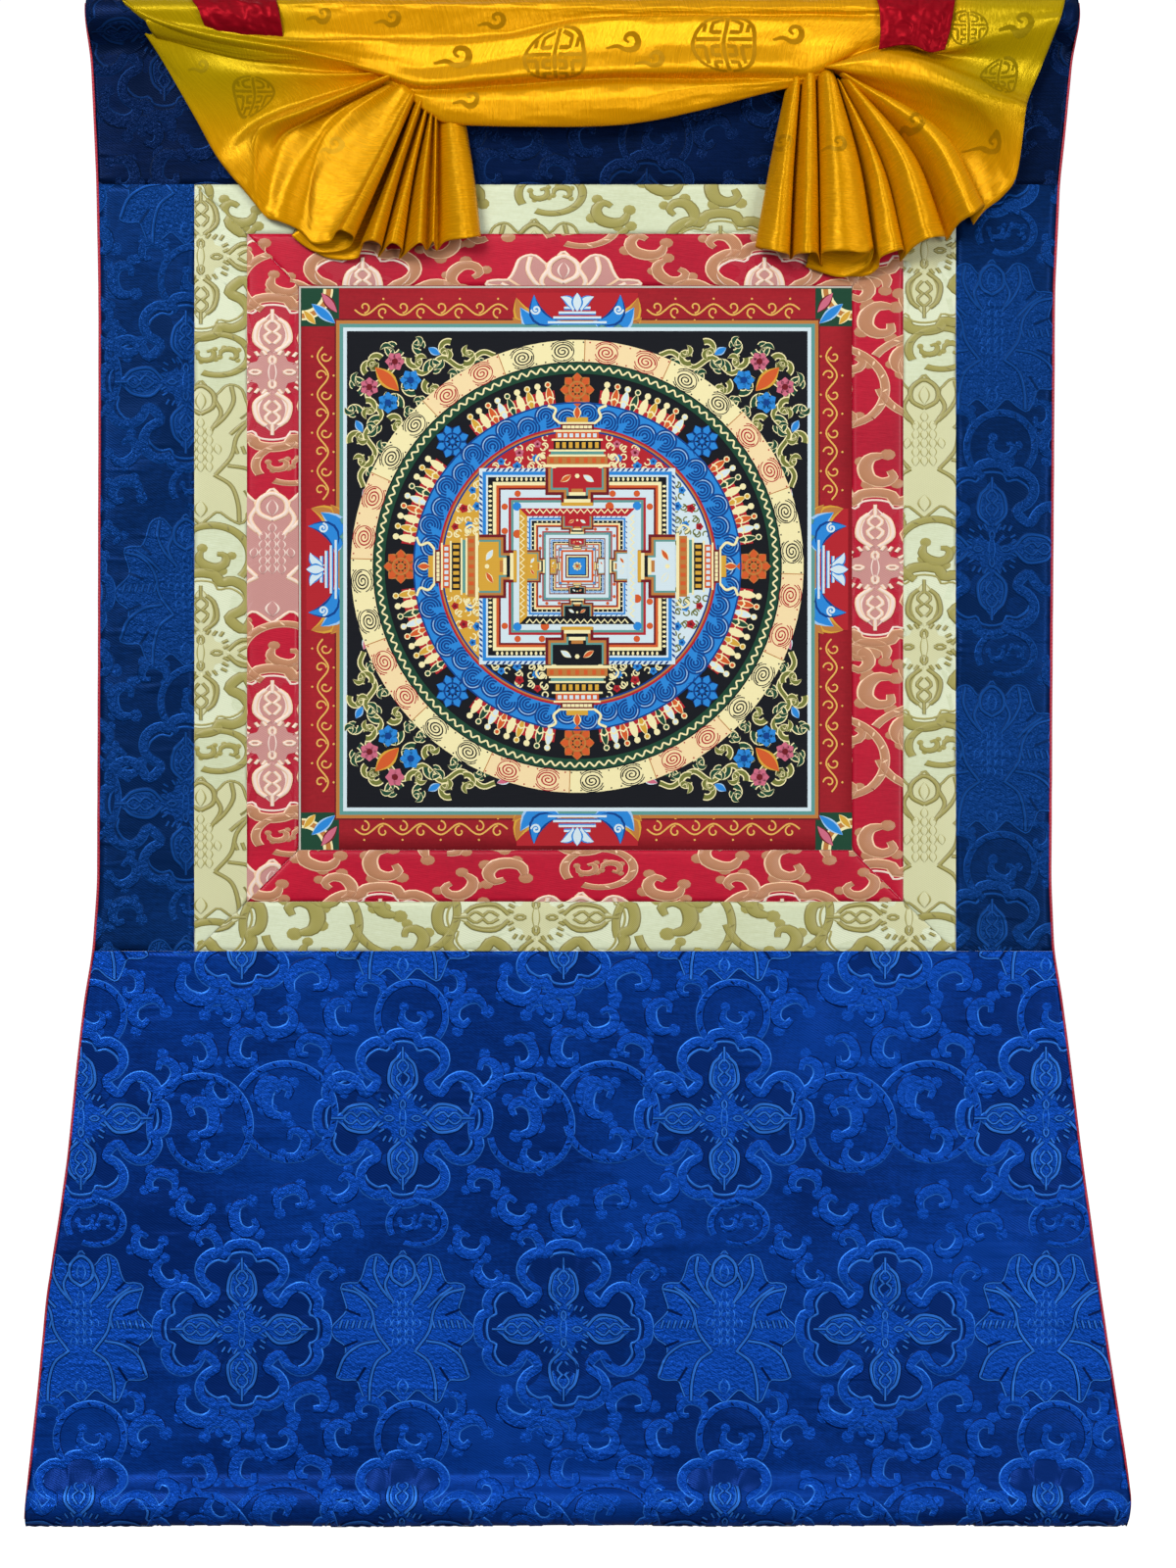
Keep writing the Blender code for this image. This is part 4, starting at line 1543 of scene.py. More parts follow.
@dataclass(frozen=True)
class Mount:
    """Brocade panels and borders round the painted cloth."""

    outline: Outline
    panel_pitch: float = 5.0 * MM
    border_pitch: float = 3.0 * MM
    border_dip: float = 0.56 * MM
    border_reach: float = 2.3 * MM
    bottom_width: float = 0.71
    top_width: float = 0.64
    side_width: float = 0.066
    limits: Point = (-0.36, 0.36)
    drape: Drape = Drape(wrinkles=PANEL_WRINKLES)
    quiet: Drape = Drape(pucker=0.10 * MM, pucker_size=26 * MM, seed=5)
    repeat: BrocadeRepeat = BrocadeRepeat()
    side_repeat: BrocadeRepeat = BrocadeRepeat(
        vine_crown=0.45 * MM, petal_crown=0.2 * MM, line_lift=0.32 * MM, line_crown=0.25 * MM,
    )
    border_repeat: BrocadeRepeat = BrocadeRepeat(rims=(Thread.EDGE, Thread.EDGE))
    faint_repeat: BrocadeRepeat = BrocadeRepeat(
        pitch=5.6, vine_crown=0.35 * MM, petal_crown=0.15 * MM, line_lift=0.26 * MM,
        line_crown=0.12 * MM,
    )

    def build(self) -> None:
        """Makes all the brocade pieces; each gets the place of a medallion in the photograph."""
        painting = Rectangle.of_nodes("painting")
        red = Rectangle.of_nodes("red_border_top", "red_border_bottom")
        cream = Rectangle.of_nodes("cream_border_top", "cream_border_bottom")
        self.rolled("bottom_panel", cream.foot + 2 * SEAM, True, (411, 1141))
        self.rolled("top_panel", cream.top - 2 * SEAM, False, (660, 245))
        inner_left, inner_right = cream.left - 2 * SEAM, cream.right + 2 * SEAM
        self.side("left_panel", cream, self.outline.left, upright(inner_left), (190, 820))
        self.side("right_panel", cream, upright(inner_right), self.outline.right, (1012, 560))
        self.border("cream_border", cream, red, CREAM_BROCADE, (1.16, 0.94), {
            "left": (205, 262), "right": (943, 660), "bottom": (547, 936), "top": (545, 97),
        })
        self.border("red_border", red, painting, RED_BROCADE, (1.25, 0.88), {
            "left": (278, 380), "right": (688, 390), "bottom": (593, 792), "top": (575, 138),
        })

    def rolled(self, node: str, seam: float, at_foot: bool, middle: Point) -> None:
        """Top or bottom panel, with its rolled edge.

        Args:
            node: Its node.
            seam: Drop of its seam.
            at_foot: Whether it is the bottom one.
            middle: Column and row of a medallion's middle.
        """
        edges = self.outline.left, self.outline.right
        ends = (seam, HEIGHT) if at_foot else (0.0, seam)
        cloth = RolledCloth(Region(*ends, *edges), self.drape, at_foot=at_foot)
        ends = sorted((cloth.seam, cloth.reach))
        along = Region(*ends, *(cloth.edge_along(edge) for edge in edges))
        # The top panel's blue is a darker copy of the bottom one: painted shade
        repeat, fabric, width = (
            (self.repeat, BLUE_BROCADE, self.bottom_width) if at_foot
            else (self.faint_repeat, TOP_BROCADE, self.top_width)
        )
        figure = repeat.spread(along, spot(*middle), (1.0, 1.0), self.limits)
        fabric.hang(node, cloth, figure, (width, ends[1] - ends[0]), self.panel_pitch)

    def side(self, node: str, cream: Rectangle, low: Edge, high: Edge, middle: Point) -> None:
        """Left or right panel.

        Args:
            node: Its node.
            cream: Outer edge of the cream border, which it is as long as.
            low: Its left edge.
            high: Its right edge.
            middle: Column and row of a medallion's middle.
        """
        region = Region(cream.top, cream.foot, low, high)
        limits = min(low(np.zeros(1))), max(high(np.zeros(1)))
        figure = self.side_repeat.spread(region, spot(*middle), (1.0, 1.0), limits)
        flat = self.side_width, cream.foot - cream.top
        # Darker copy of the blue: painted shade
        SIDE_BROCADE.hang(node, FlatCloth(region, self.drape), figure, flat, self.panel_pitch)

    def border(
        self, name: str, outer: Rectangle, inner: Rectangle, fabric: Fabric, scale: Point,
        middles: dict[str, Point],
    ) -> None:
        """Four mitred strips.

        Args:
            name: Start of their nodes' names.
            outer: Outer edge.
            inner: Inner edge.
            fabric: Their finishes.
            scale: Size of the repeat across and down.
            middles: Column and row of a medallion's middle, for each strip.
        """
        for side, middle in middles.items():
            region = outer.strip(inner, side)
            cloth = FlatCloth(region, self.quiet, self.border_dip, self.border_reach)
            figure = self.border_repeat.spread(region, spot(*middle), scale, (outer.left, outer.right))
            if side in ("left", "right"):
                flat = abs(outer.left - inner.left), outer.foot - outer.top
            else:
                flat = abs(outer.top - inner.top), outer.right - outer.left
            fabric.hang(f"{name}_{side}", cloth, figure, flat, self.border_pitch)


# Painted cloth ------------------------------------------------------------------------------------
class Paint(Enum):
    """Colours of the painting; an ink is a colour's place in this list."""

    RED = "b0242d"
    WINE = "6e1a22"
    BLACK = "15171d"
    GOLD = "efe4ae"
    PEACH = "f0d8a6"
    OCHRE = "b9793c"
    AMBER = "d2a13a"
    BLUE = "2a84d2"
    NAVY = "0d3f86"
    SKY = "9dc3e6"
    ICE = "cfe0e6"
    TEAL = "5c968f"
    GREEN = "1e4633"
    OLIVE = "71763a"
    ORANGE = "cf5a2b"
    ROSE = "c9687f"
    GREY = "b9b6ab"
    SAFFRON = "e0ae58"

    @property
    def ink(self) -> int:
        """Its number."""
        return list(Paint).index(self)

    def finish(self) -> Finish:
        """Matt paint of this colour, with the canvas' grain."""
        name = "paint_" + self.name.lower()
        return Finish(name, self.value, None, 0.75, 0.12, 0.0, 700, 0.0, 1.2, 0.02)


RED, WINE, BLACK, GOLD, PEACH, OCHRE, AMBER, BLUE, NAVY = list(Paint)[:9]
SKY, ICE, TEAL, GREEN, OLIVE, ORANGE, ROSE, GREY, SAFFRON = list(Paint)[9:]
COURTS = ICE, BLACK, AMBER, RED  # grounds of the four quarters, clockwise from the right


@dataclass(frozen=True)
class Painting:
    """Painted cloth with a mandala of rings round a square palace, drawn about the rings' middle.

    Its red frame, corner vines and ring ornaments are common motifs in a layout of their own. A
    level counts thin steps of paint above the cloth.
    """

    middle: Point = spot(589, 578)
    step: float = 0.025 * MM
    pitch: float = 17.0
    cloth_pitch: float = 12 * MM
    seam_dip: float = 0.2 * MM
    field_middle: float = 3.0
    field: Point = (235.0, 243.0)
    sheet: Point = (284.0, 289.0)
    scroll_length: float = 156.0
    scroll_waves: int = 8

    def at(self, level: float) -> float:
        """Height of a level of paint above the cloth."""
        return level * self.step

    def box(self, wide: Point, tall: Point, paint: Paint, level: float) -> Figure:
        """Filled rectangle."""
        return sheet_of(wide, tall, paint.ink, self.at(level), self.pitch)

    def bar(self, half: float, top: float, foot: float, paint: Paint, level: float) -> Figure:
        """Filled rectangle with its middle on x = 0."""
        return self.box((-half, half), (top, foot), paint, level)

    def square(self, half: float, paint: Paint, level: float) -> Figure:
        """Filled square about the middle, in cells small enough for its thin step above the next."""
        return sheet_of((-half, half), (-half, half), paint.ink, self.at(level), 0.6 * self.pitch)

    def sector(
        self, inner: float, outer: float, paint: Paint, level: float, start: float = 0.0,
        end: float = 360.0, sides: int = 96, rings: int = 1,
    ) -> Figure:
        """Filled ring, or part of one between two bearings."""
        radii = np.full(sides + 1, outer)
        return polar(radii, paint.ink, self.at(level), 0.0, inner, start, end, rings)

    def dot(
        self, radius: float, paint: Paint, level: float, sides: int, at: Point = (0.0, 0.0)
    ) -> Figure:
        """Filled round spot."""
        return disc(radius, paint.ink, self.at(level), sides=sides).placed(at)

    def stroke(
        self, points: Sequence[Point] | Array, half: float, paint: Paint, level: float,
        closed: bool = False,
    ) -> Figure:
        """Painted line."""
        return band(np.asarray(points, float), half, paint.ink, lift=self.at(level), closed=closed)

    def petal(
        self, start: Point, end: Point, half: float, paint: Paint, level: float,
        rim: Paint | None = None, bend: float = 0.0, peak: float = 0.5,
    ) -> Figure:
        """Painted leaf, with an outline or without."""
        edge = rim.ink if rim else None
        return leaf(start, end, half, paint.ink, edge, bend, self.at(level), peak=peak)

    def spiral(
        self, radius: float, turns: float, half: float, paint: Paint, level: float, flip: int = 1
    ) -> Figure:
        """Painted curl: its radius shrinks evenly as it winds."""
        return self.stroke(arc(radius, 0, 360 * turns * flip, radius * 0.12), half, paint, level)

    @drawing
    def flower(
        self, radius: float, petals: Paint, heart: Paint, level: float, count: int = 6
    ) -> Iterator[Figure]:
        """Small round flower.

        Args:
            radius: Its radius.
            petals: Paint of its petals.
            heart: Paint of its heart.
            level: Level of its petals.
            count: How many petals it has.

        Yields:
            A ground, the petals and the heart.
        """
        yield self.dot(radius * 0.8, petals, level - 0.5, 10)
        yield self.petal((0, 0), (radius, 0), radius * 0.42, petals, level).around(count)
        yield self.dot(radius * 0.34, heart, level + 1, 7)

    @drawing
    def scroll(self) -> Iterator[Figure]:
        """Running gold scroll along x, with a curl and a bead in every wave.

        Yields:
            The wave, the curls and the beads.
        """
        half, step = self.scroll_length / 2, self.scroll_length / self.scroll_waves
        x = np.linspace(-half, half, self.scroll_waves * 10 + 1)
        yield self.stroke(np.stack([x, 5.5 * np.sin(np.pi * x / step)], 1), 0.85, SAFFRON, 4)
        for k in range(self.scroll_waves):
            side, middle = 1 if k % 2 else -1, -half + (k + 0.5) * step
            curl = self.stroke(arc(6.0, 0, 320, 1.4), 0.8, SAFFRON, 5)
            yield curl.placed((middle, 2.5 * side), 90 * side, wide=side)
            yield self.dot(1.2, SAFFRON, 5, 6, (middle, -11 * side))

    @drawing
    def leaves(self) -> Iterator[Figure]:
        """Leaves to the right of the frame's lotus.

        Yields:
            Brown-gold leaves, blue ones, a curl and a petal.
        """
        yield self.petal((34, 12), (62, -12), 9, OCHRE, 5, AMBER, 0.25)
        yield self.petal((38, 14), (66, 8), 6, OCHRE, 6, AMBER, 0.2)
        yield self.petal((16, 12), (58, -2), 11, BLUE, 7, SKY, 0.28)
        yield self.petal((18, 13), (44, -15), 8, BLUE, 8, NAVY, 0.3)
        yield self.spiral(5, 1.4, 1.0, ICE, 9).placed((42, 0))
        yield self.petal((4, 2), (17, -13), 5, ICE, 10, BLUE, -0.2)

    @drawing
    def frame_motif(self) -> Iterator[Figure]:
        """Lotus on a stepped throne, between blue leaves and brown-gold ones.

        Yields:
            A ground, the leaves, the steps and the lotus' middle petal.
        """
        yield self.bar(62, -17, 17, RED, 4)
        yield self.leaves().both()
        for k in range(4):
            yield self.bar(30 - 5.5 * k, 12 - 5 * k, 15.5 - 5 * k, ICE, 9)
            yield self.bar(30 - 5.5 * k, 14.2 - 5 * k, 15.5 - 5 * k, BLUE, 10)
        yield self.petal((0, 2), (0, -17), 6, ICE, 11, BLUE)

    @drawing
    def frame_corner(self) -> Iterator[Figure]:
        """Corner of the frame: dark green under a gold quarter ring, with three bright leaves.

        Yields:
            The ground, the quarter ring and the leaves.
        """
        yield self.bar(20, -20, 20, GREEN, 4)
        yield self.sector(22, 32, GOLD, 5, 0, 90, 12).placed((-18, -18))
        yield self.sector(25, 30, OCHRE, 6, 0, 90, 12).placed((-18, -18))
        yield self.petal((16, 17), (-8, -3), 5.5, BLUE, 7, SKY)
        yield self.petal((18, 6), (2, -14), 5.0, ROSE, 8, WINE)
        yield self.petal((-4, 18), (-16, 4), 4.0, AMBER, 8, GOLD)

    @drawing
    def frame(self) -> Iterator[Figure]:
        """Red frame with its ornaments, and the thin coloured lines inside and round it.

        Yields:
            The four rows of ornaments, the corners, the inner lines and the outer ones.
        """
        wide, tall = self.field[0] + 24.5, self.field[1] + 22.0
        row = [self.frame_motif(), *(self.scroll().placed((x, 0)) for x in (-149, 149))]
        for turn, reach in ((0, tall), (90, wide), (180, tall), (270, wide)):
            side = Figure.joined(row).placed((0, -reach)).placed(turn=turn)
            yield side.placed((0, self.field_middle))
        x, reach = self.sheet
        for right in (-1, 1):
            for down in (-1, 1):
                corner = self.frame_corner().placed(wide=-right, tall=-down)
                yield corner.placed((right * (x - 21), self.field_middle + down * (reach - 21)))
        lines = ((12.5, WINE), (11.0, OCHRE), (7.5, TEAL), (3.8, ICE), (0.0, BLACK))
        for level, (out, paint) in enumerate(lines):
            half, down = self.field[0] + out, self.field[1] + out
            yield self.bar(half, self.field_middle - down, self.field_middle + down, paint, 5 + level)
        for pair in ((-x, 2 - x), (x - 2, x)):
            yield self.box(pair, (self.field_middle - reach, self.field_middle + reach), GREY, 6)
        for down in (-reach, reach - 2):
            yield self.bar(x, self.field_middle + down, self.field_middle + down + 2, GREY, 6)

    @drawing
    def vine_arm(self) -> Iterator[Figure]:
        """Green and gold vine from the field's upper left corner along its top, with flowers.

        Yields:
            The stem, its curls and leaves, and the flowers.
        """
        stem = [(-196, -196), (-178, -214), (-158, -200), (-138, -216), (-118, -206), (-98, -221)]
        path, edged = spline([*stem, (-84, -218)], 6), {"lift": self.at(11), "rim_share": 0.4}
        yield band(path, 3.0, OLIVE.ink, GOLD.ink, **edged)
        for x, down, size, turn, way in (
            (-188, -226, 9, 20, 1), (-165, -213, 8, 200, -1), (-160, -228, 7, 90, 1),
            (-146, -205, 9, 160, 1), (-133, -225, 8, 300, -1), (-122, -198, 7, 40, 1),
            (-112, -217, 8, 120, -1), (-170, -188, 9, 60, 1), (-150, -186, 7, 240, -1),
            (-97, -211, 6, 0, 1), (-206, -212, 7, 330, -1), (-158, -172, 6, 20, 1),
        ):
            paint = GREEN if way > 0 else OLIVE
            path = even(arc(size, 0, 300 * way, size * 0.35), 2.2)
            half = 3.6 - 1.2 * np.linspace(0, 1, len(path))
            curl = band(path, half, paint.ink, GOLD.ink, lift=self.at(12), rim_share=0.36)
            yield curl.placed((x, down), turn)
            for lean, grow, wide, level, bend in (
                (150, 1.5, 2.8, 13, 0.3), (105, 1.15, 2.2, 12.6, -0.25), (200, 1.0, 2.2, 12.6, -0.25),
            ):
                side = self.petal((0, 0), (size * grow, 0), wide, paint, level, GOLD, bend * way)
                yield side.placed((x, down), turn + lean)
        yield self.petal((-82, -218), (-66, -213), 4, ROSE, 14, ICE)
        yield self.petal((-140, -219), (-152, -226), 4, BLUE, 14, SKY)
        yield self.flower(10, ROSE, WINE, 15).placed((-186, -212))
        yield self.flower(11, BLUE, NAVY, 16).placed((-170, -193))

    @drawing
    def corner_vine(self) -> Iterator[Figure]:
        """Vines from the field's upper left corner along both its sides.

        Yields:
            The arm along the top, the same along the side, and a leaf between them.
        """
        arm = self.vine_arm()
        yield arm
        yield Figure(arm.places[:, [1, 0, 2]], arm.corners, arm.inks)
        yield self.petal((-206, -206), (-182, -182), 8, ORANGE, 18, AMBER)

    @drawing
    def gold_ring(self) -> Iterator[Figure]:
        """Gold ring of sixteen parts with swirls and dots.

        Yields:
            Each part's ground, its dividing line, two swirls with their halos, and the dots.
        """
        for k in range(16):
            ground, drawn = (GOLD, BLACK) if k % 2 else (PEACH, RED)
            start = k * 22.5 + 2
            yield self.sector(208, 231, ground, 11, start, start + 22.5, 6, 2)
            yield self.stroke([(208, 0), (219, 0), (231, 0)], 0.45, OCHRE, 12).placed(turn=start)
            for place, flip in ((5.8, 1), (16.6, -1)):
                at, turn = bearing_at(219.5, start + place), start + place + 90
                yield self.spiral(7.8, 2.4, 0.6, drawn, 12.5, flip).placed(at, turn, wide=1.25)
                for reach, first, last in ((9.6, -165, 165), (11.4, -150, -30), (11.4, 40, 140)):
                    halo = self.stroke(arc(reach, first, last), 0.42, drawn, 12.5)
                    yield halo.placed(at, turn, wide=1.2, tall=0.98)
            for place in np.arange(1.3, 22.5, 2.6):
                for reach in (228.6, 210.4):
                    yield self.dot(0.95, drawn, 12.5, 5, bearing_at(reach, start + place))

    @drawing
    def dark_band(self) -> Iterator[Figure]:
        """Wavy line on green, and the rows of small lamps and the emblems on the dark band.

        Yields:
            The green ring and its line, then for each eighth its ground, lamps and emblem.
        """
        bearing = np.linspace(0, 2 * np.pi, 128 * 7 + 1)
        reach = 202.5 + 2.2 * np.sin(128 * bearing)
        wave = np.stack([reach * np.cos(bearing), reach * np.sin(bearing)], 1)
        yield self.sector(196.5, 208.0, GREEN, 11)
        yield self.stroke(wave, 0.9, GOLD, 12, closed=True)
        yield self.sector(207.6, 208.8, BLACK, 12.2)
        row = (GOLD, ORANGE, ICE, GREEN, GOLD, AMBER)
        for eighth in range(8):
            start, tilt = eighth * 45 + 7.5, 22.5 * (eighth % 2)
            yield self.sector(160, 181, RED, 11, start, start + 30, 5, 2)
            for k in range(9):
                yield self.lamp(row[(k + eighth) % len(row)]).placed(turn=start + 1.9 + k * 3.3)
            first, second = (BLUE, NAVY) if tilt else (ORANGE, OCHRE)
            emblem = Figure.joined([
                self.petal((4, 0), (17.5, 0), 5.5, first, 15, second).around(8, tilt),
                self.sector(7.4, 9.2, second, 17, sides=20),
                self.dot(4.2, second, 17, 8), self.dot(2.4, first, 18, 7),
            ])
            yield emblem.placed(bearing_at(180, eighth * 45))

    @drawing
    def lamp(self, paint: Paint) -> Iterator[Figure]:
        """Small lamp that points to the right: a drop with a bright head and a cross line.

        Args:
            paint: Its paint.

        Yields:
            The drop, the head in gold and in its paint, and the line.
        """
        yield self.petal((161, 0), (186, 0), 4.0, paint, 13, GOLD, peak=0.6)
        yield self.dot(3.3, GOLD, 14, 8, (187.5, 0))
        yield self.dot(2.1, paint, 14.6, 7, (187.5, 0))
        yield self.stroke([(172, -4.5), (175, 0), (172, 4.5)], 0.9, GOLD, 14)

    @drawing
    def water_ring(self) -> Iterator[Figure]:
        """Blue ring full of dark swirls, and the thin lines inside it.

        Yields:
            The ring and its edge, the swirls, and the lines.
        """
        yield self.sector(140, 167, BLUE, 14)
        yield self.sector(166, 167.6, NAVY, 18)
        count = 46
        for k in range(count):
            reach, size, level = ((149.5, 11.5, 14.6), (156.0, 11.0, 16.2))[k % 2]
            swirl = [self.dot(size, BLUE, level, 16)]
            for share in (1.0, 0.74, 0.48, 0.22):
                swirl.append(self.stroke(arc(size * share, -190, 120), 0.95, NAVY, level + 0.8))
            swirl.append(self.stroke(arc(size * 0.87, -150, -20), 0.5, SKY, level + 0.8))
            yield Figure.joined(swirl).placed((reach, 0), 70).placed(turn=k * 360 / count)
        for inner, outer, paint, level in (
            (140.2, 142.6, RED, 19), (138.6, 140.4, OCHRE, 19.5), (137.0, 138.8, NAVY, 20),
        ):
            yield self.sector(inner, outer, paint, level)

    @drawing
    def inner_disc(self) -> Iterator[Figure]:
        """Four grounds with flowers and curls, and a tiered tower over each gate.

        Yields:
            For each quarter its ground, flowers, curls and tower.
        """
        spots = ((119, 31, 6), (130, 27, 6), (118, 21, 5), (131, 18, 5), (132, 36, 5), (125, 41, 4))
        for quarter, ground in enumerate(COURTS):
            turn = quarter * 90
            yield self.sector(0, 137.5, ground, 17, -45, 45, 12, 7).placed(turn=turn)
            warm = ROSE if ground is RED else RED
            drawn = OLIVE if ground is ICE else GOLD
            for flip in (1, -1):
                for k, (reach, bearing, size) in enumerate(spots):
                    petals, heart = (warm, WINE) if k % 2 else (BLUE, NAVY)
                    flower = self.flower(size * 0.82, petals, heart, 20, 5)
                    yield flower.placed(bearing_at(reach, bearing * flip)).placed(turn=turn)
                for k in range(30):
                    at = bearing_at(106 + (k * 7) % 30, (13 + (k * 11) % 31) * flip)
                    curl = self.stroke(arc(2.9, 0, 270 * flip), 0.7, drawn, 18.5)
                    yield curl.placed(at, k * 67).placed(turn=turn)
            yield self.tower().placed(turn=turn + 90)

    @drawing
    def tower(self) -> Iterator[Figure]:
        """Tower of gold tiers over the upper gate, with rows of dark and bright windows.

        Yields:
            The tiers, the windows, the curved eaves and the point on top.
        """
        tiers = (
            (34, 101, 104, GOLD), (31, 104, 112, OCHRE), (29, 112, 114, GOLD), (27, 114, 117, TEAL),
            (29, 117, 119, GOLD), (24, 119, 128, BLACK), (26, 128, 130, GOLD), (22, 130, 137, ORANGE),
            (24, 137, 139, GOLD), (17, 139, 145, WINE), (19, 145, 147, GOLD), (11, 147, 152, AMBER),
        )
        for level, (half, low, high, paint) in enumerate(tiers):
            yield self.bar(half, -high, -low, paint, 21 + level * 0.3)
        for low, high, half, paint in (
            (105.5, 110.5, 26, ORANGE), (120.5, 126.5, 20, AMBER), (131.5, 135.5, 18, ICE),
            (140.5, 143.5, 13, GOLD),
        ):
            for x in np.linspace(-half, half, 7):
                yield self.box((x - 1.9, x + 1.9), (-high, -low), paint, 25.5)
        for flip in (-1, 1):
            for half, *eave in (
                (1.3, (18, -146), (24, -152), (22, -160), (30, -164)),
                (1.1, (36, -102), (42, -108), (38, -114), (34, -110)),
            ):
                yield self.stroke(spline(np.array(eave) * [flip, 1], 5), half, GOLD, 26)
        yield self.petal((0, -150), (0, -163), 4, ORANGE, 26, GOLD)

    @drawing
    def palace(self, half: float, level: float) -> Iterator[Figure]:
        """Square of nested walls with a gate in each side.

        Args:
            half: Half of its width.
            level: Its lowest level of paint.

        Yields:
            The walls, the rope and fringe along them, the jewels, and the four gates.
        """
        walls = (
            (1.0, ICE), (0.965, BLUE), (0.93, ICE), (0.91, BLACK), (0.86, GOLD), (0.825, ORANGE),
            (0.80, WINE), (0.78, ICE), (0.70, RED), (0.675, TEAL), (0.65, ICE),
        )
        for k, (share, paint) in enumerate(walls):
            yield self.square(half * share, paint, level + 0.22 * k)
        count = max(10, round(half / 2.9))
        slant = (-0.020 * half, 0.018 * half), (0.020 * half, -0.018 * half)
        rope = self.petal(*slant, 0.010 * half, NAVY, level + 3)
        fringe = self.petal((0, -0.045 * half), (0, 0.0), 0.013 * half, GOLD, level + 3)
        for x in (np.arange(count) + 0.5) / count * 2 - 1:
            yield rope.placed((x * half * 0.94, -0.983 * half)).around(4)
            yield fringe.placed((x * half * 0.84, -0.865 * half)).around(4)
        for x in (-0.62, 0.0, 0.62):
            at = (x * half * 0.98 if x else 0.36 * half, -0.74 * half)
            yield self.dot(0.034 * half, ORANGE, level + 3, 9, at).around(4)
        for x, paint in ((-0.615, BLUE), (0.33, ORANGE)):
            yield self.dot(0.045 * half, paint, level + 3, 9, (x * half, -0.61 * half)).around(4)
        for quarter, court in enumerate(COURTS):
            yield self.gate(half, level, court).placed(turn=90 + quarter * 90)

    @drawing
    def gate(self, half: float, level: float, court: Paint) -> Iterator[Figure]:
        """Upper gate of a palace.

        Args:
            half: Half of the palace's width.
            level: The palace's lowest level of paint.
            court: Paint of the gate's court.

        Yields:
            Its nested openings, its steps, two leaves and a jewel.
        """
        for grow, paint, up in (
            (0.075, WINE, 3.4), (0.045, OCHRE, 3.7), (0.02, TEAL, 4.0), (0.0, court, 4.3),
        ):
            low = -0.80 + grow
            yield self.bar((0.25 + grow) * half, -1.0 * half, low * half, paint, level + up)
            yield self.bar((0.09 + grow) * half, low * half, -0.62 * half, paint, level + up)
        for k, paint in enumerate((OCHRE, GOLD, BLACK, GOLD, AMBER)):
            ends = (-0.79 + 0.035 * k) * half, (-0.755 + 0.035 * k) * half
            yield self.bar((0.06 + 0.025 * k) * half, *ends, paint, level + 5)
        for side, paint in ((-1, ORANGE), (1, ICE)):
            ends = (side * 0.17 * half, -0.86 * half), (side * 0.06 * half, -0.93 * half)
            yield self.petal(*ends, 0.03 * half, paint, level + 5, GOLD)
        yield self.dot(0.025 * half, GOLD, level + 5, 6, (0, -0.92 * half))

    @drawing
    def hall(self) -> Iterator[Figure]:
        """Three palaces, one in another, and the blue room at the heart.

        Yields:
            The outer palace, its quarters with their zigzags, the inner ones, the rooms, a flower.
        """
        yield self.palace(100, 24)
        for quarter, paint in enumerate(COURTS):
            reach = np.broadcast_to(np.linspace(0.0, 59.0, 9)[:, None], (9, 17))
            wedge = Figure.of_grid(reach, reach * np.linspace(-1, 1, 17), np.zeros((9, 17)), paint.ink)
            yield wedge.placed(turn=quarter * 90, lift=self.at(31))
            teeth = 56.0 + 2.0 * (-1.0) ** np.arange(31)
            zigzag = self.stroke(np.stack([teeth, np.linspace(-52, 52, 31)], 1), 0.8, GOLD, 32)
            yield zigzag.placed(turn=quarter * 90)
        yield self.palace(51, 32.5)
        for half, paint, level in ((33.0, TEAL, 38.2), (32.0, ICE, 38.5), (28.5, WINE, 38.8)):
            yield self.square(half, paint, level)
        yield self.palace(27.5, 39)
        rooms = ((16.5, ORANGE), (14.5, ICE), (12.0, WINE), (10.6, GOLD), (9.4, BLACK), (8.4, BLUE))
        for k, (half, paint) in enumerate(rooms):
            yield self.square(half, paint, 45 + 0.3 * k)
        yield self.flower(4.6, GOLD, ORANGE, 48, 8)

    @drawing
    def figure(self) -> Iterator[Figure]:
        """The whole drawing, in steps about the rings' middle.

        Yields:
            The frame, the four corner vines, and the rings with the palace.
        """
        yield self.frame()
        vine = self.corner_vine()
        for wide in (1, -1):
            for tall in (1, -1):
                yield vine.placed((0, self.field_middle), wide=wide, tall=tall)
        for part in (self.gold_ring, self.dark_band, self.water_ring, self.inner_disc, self.hall):
            yield part().placed(lift=self.at(8))

    def build(self) -> None:
        """Makes the cloth and its paint."""
        rectangle = Rectangle.of_nodes("painting")
        cloth = FlatCloth(rectangle.region(), Drape(pucker=0.0), seam_dip=self.seam_dip)
        ground = Finish("painted_red", "a8222c", "8c1a24", 0.75, 0.12, 0.0, 700, 0.0, 1.2, 0.02)
        fabric = Fabric("painted_cloth", ground, tuple(paint.finish() for paint in Paint))
        figure = cloth.region.cut(self.figure().placed(self.middle, wide=STEP, tall=STEP))
        flat = rectangle.right - rectangle.left, rectangle.foot - rectangle.top
        fabric.hang("painting", cloth, figure, flat, self.cloth_pitch, "paint", "stretched")


# Veil and trimmings -------------------------------------------------------------------------------
Line = tuple[tuple[float, float, float], ...]  # places of a fold: column, row, and depth in mm

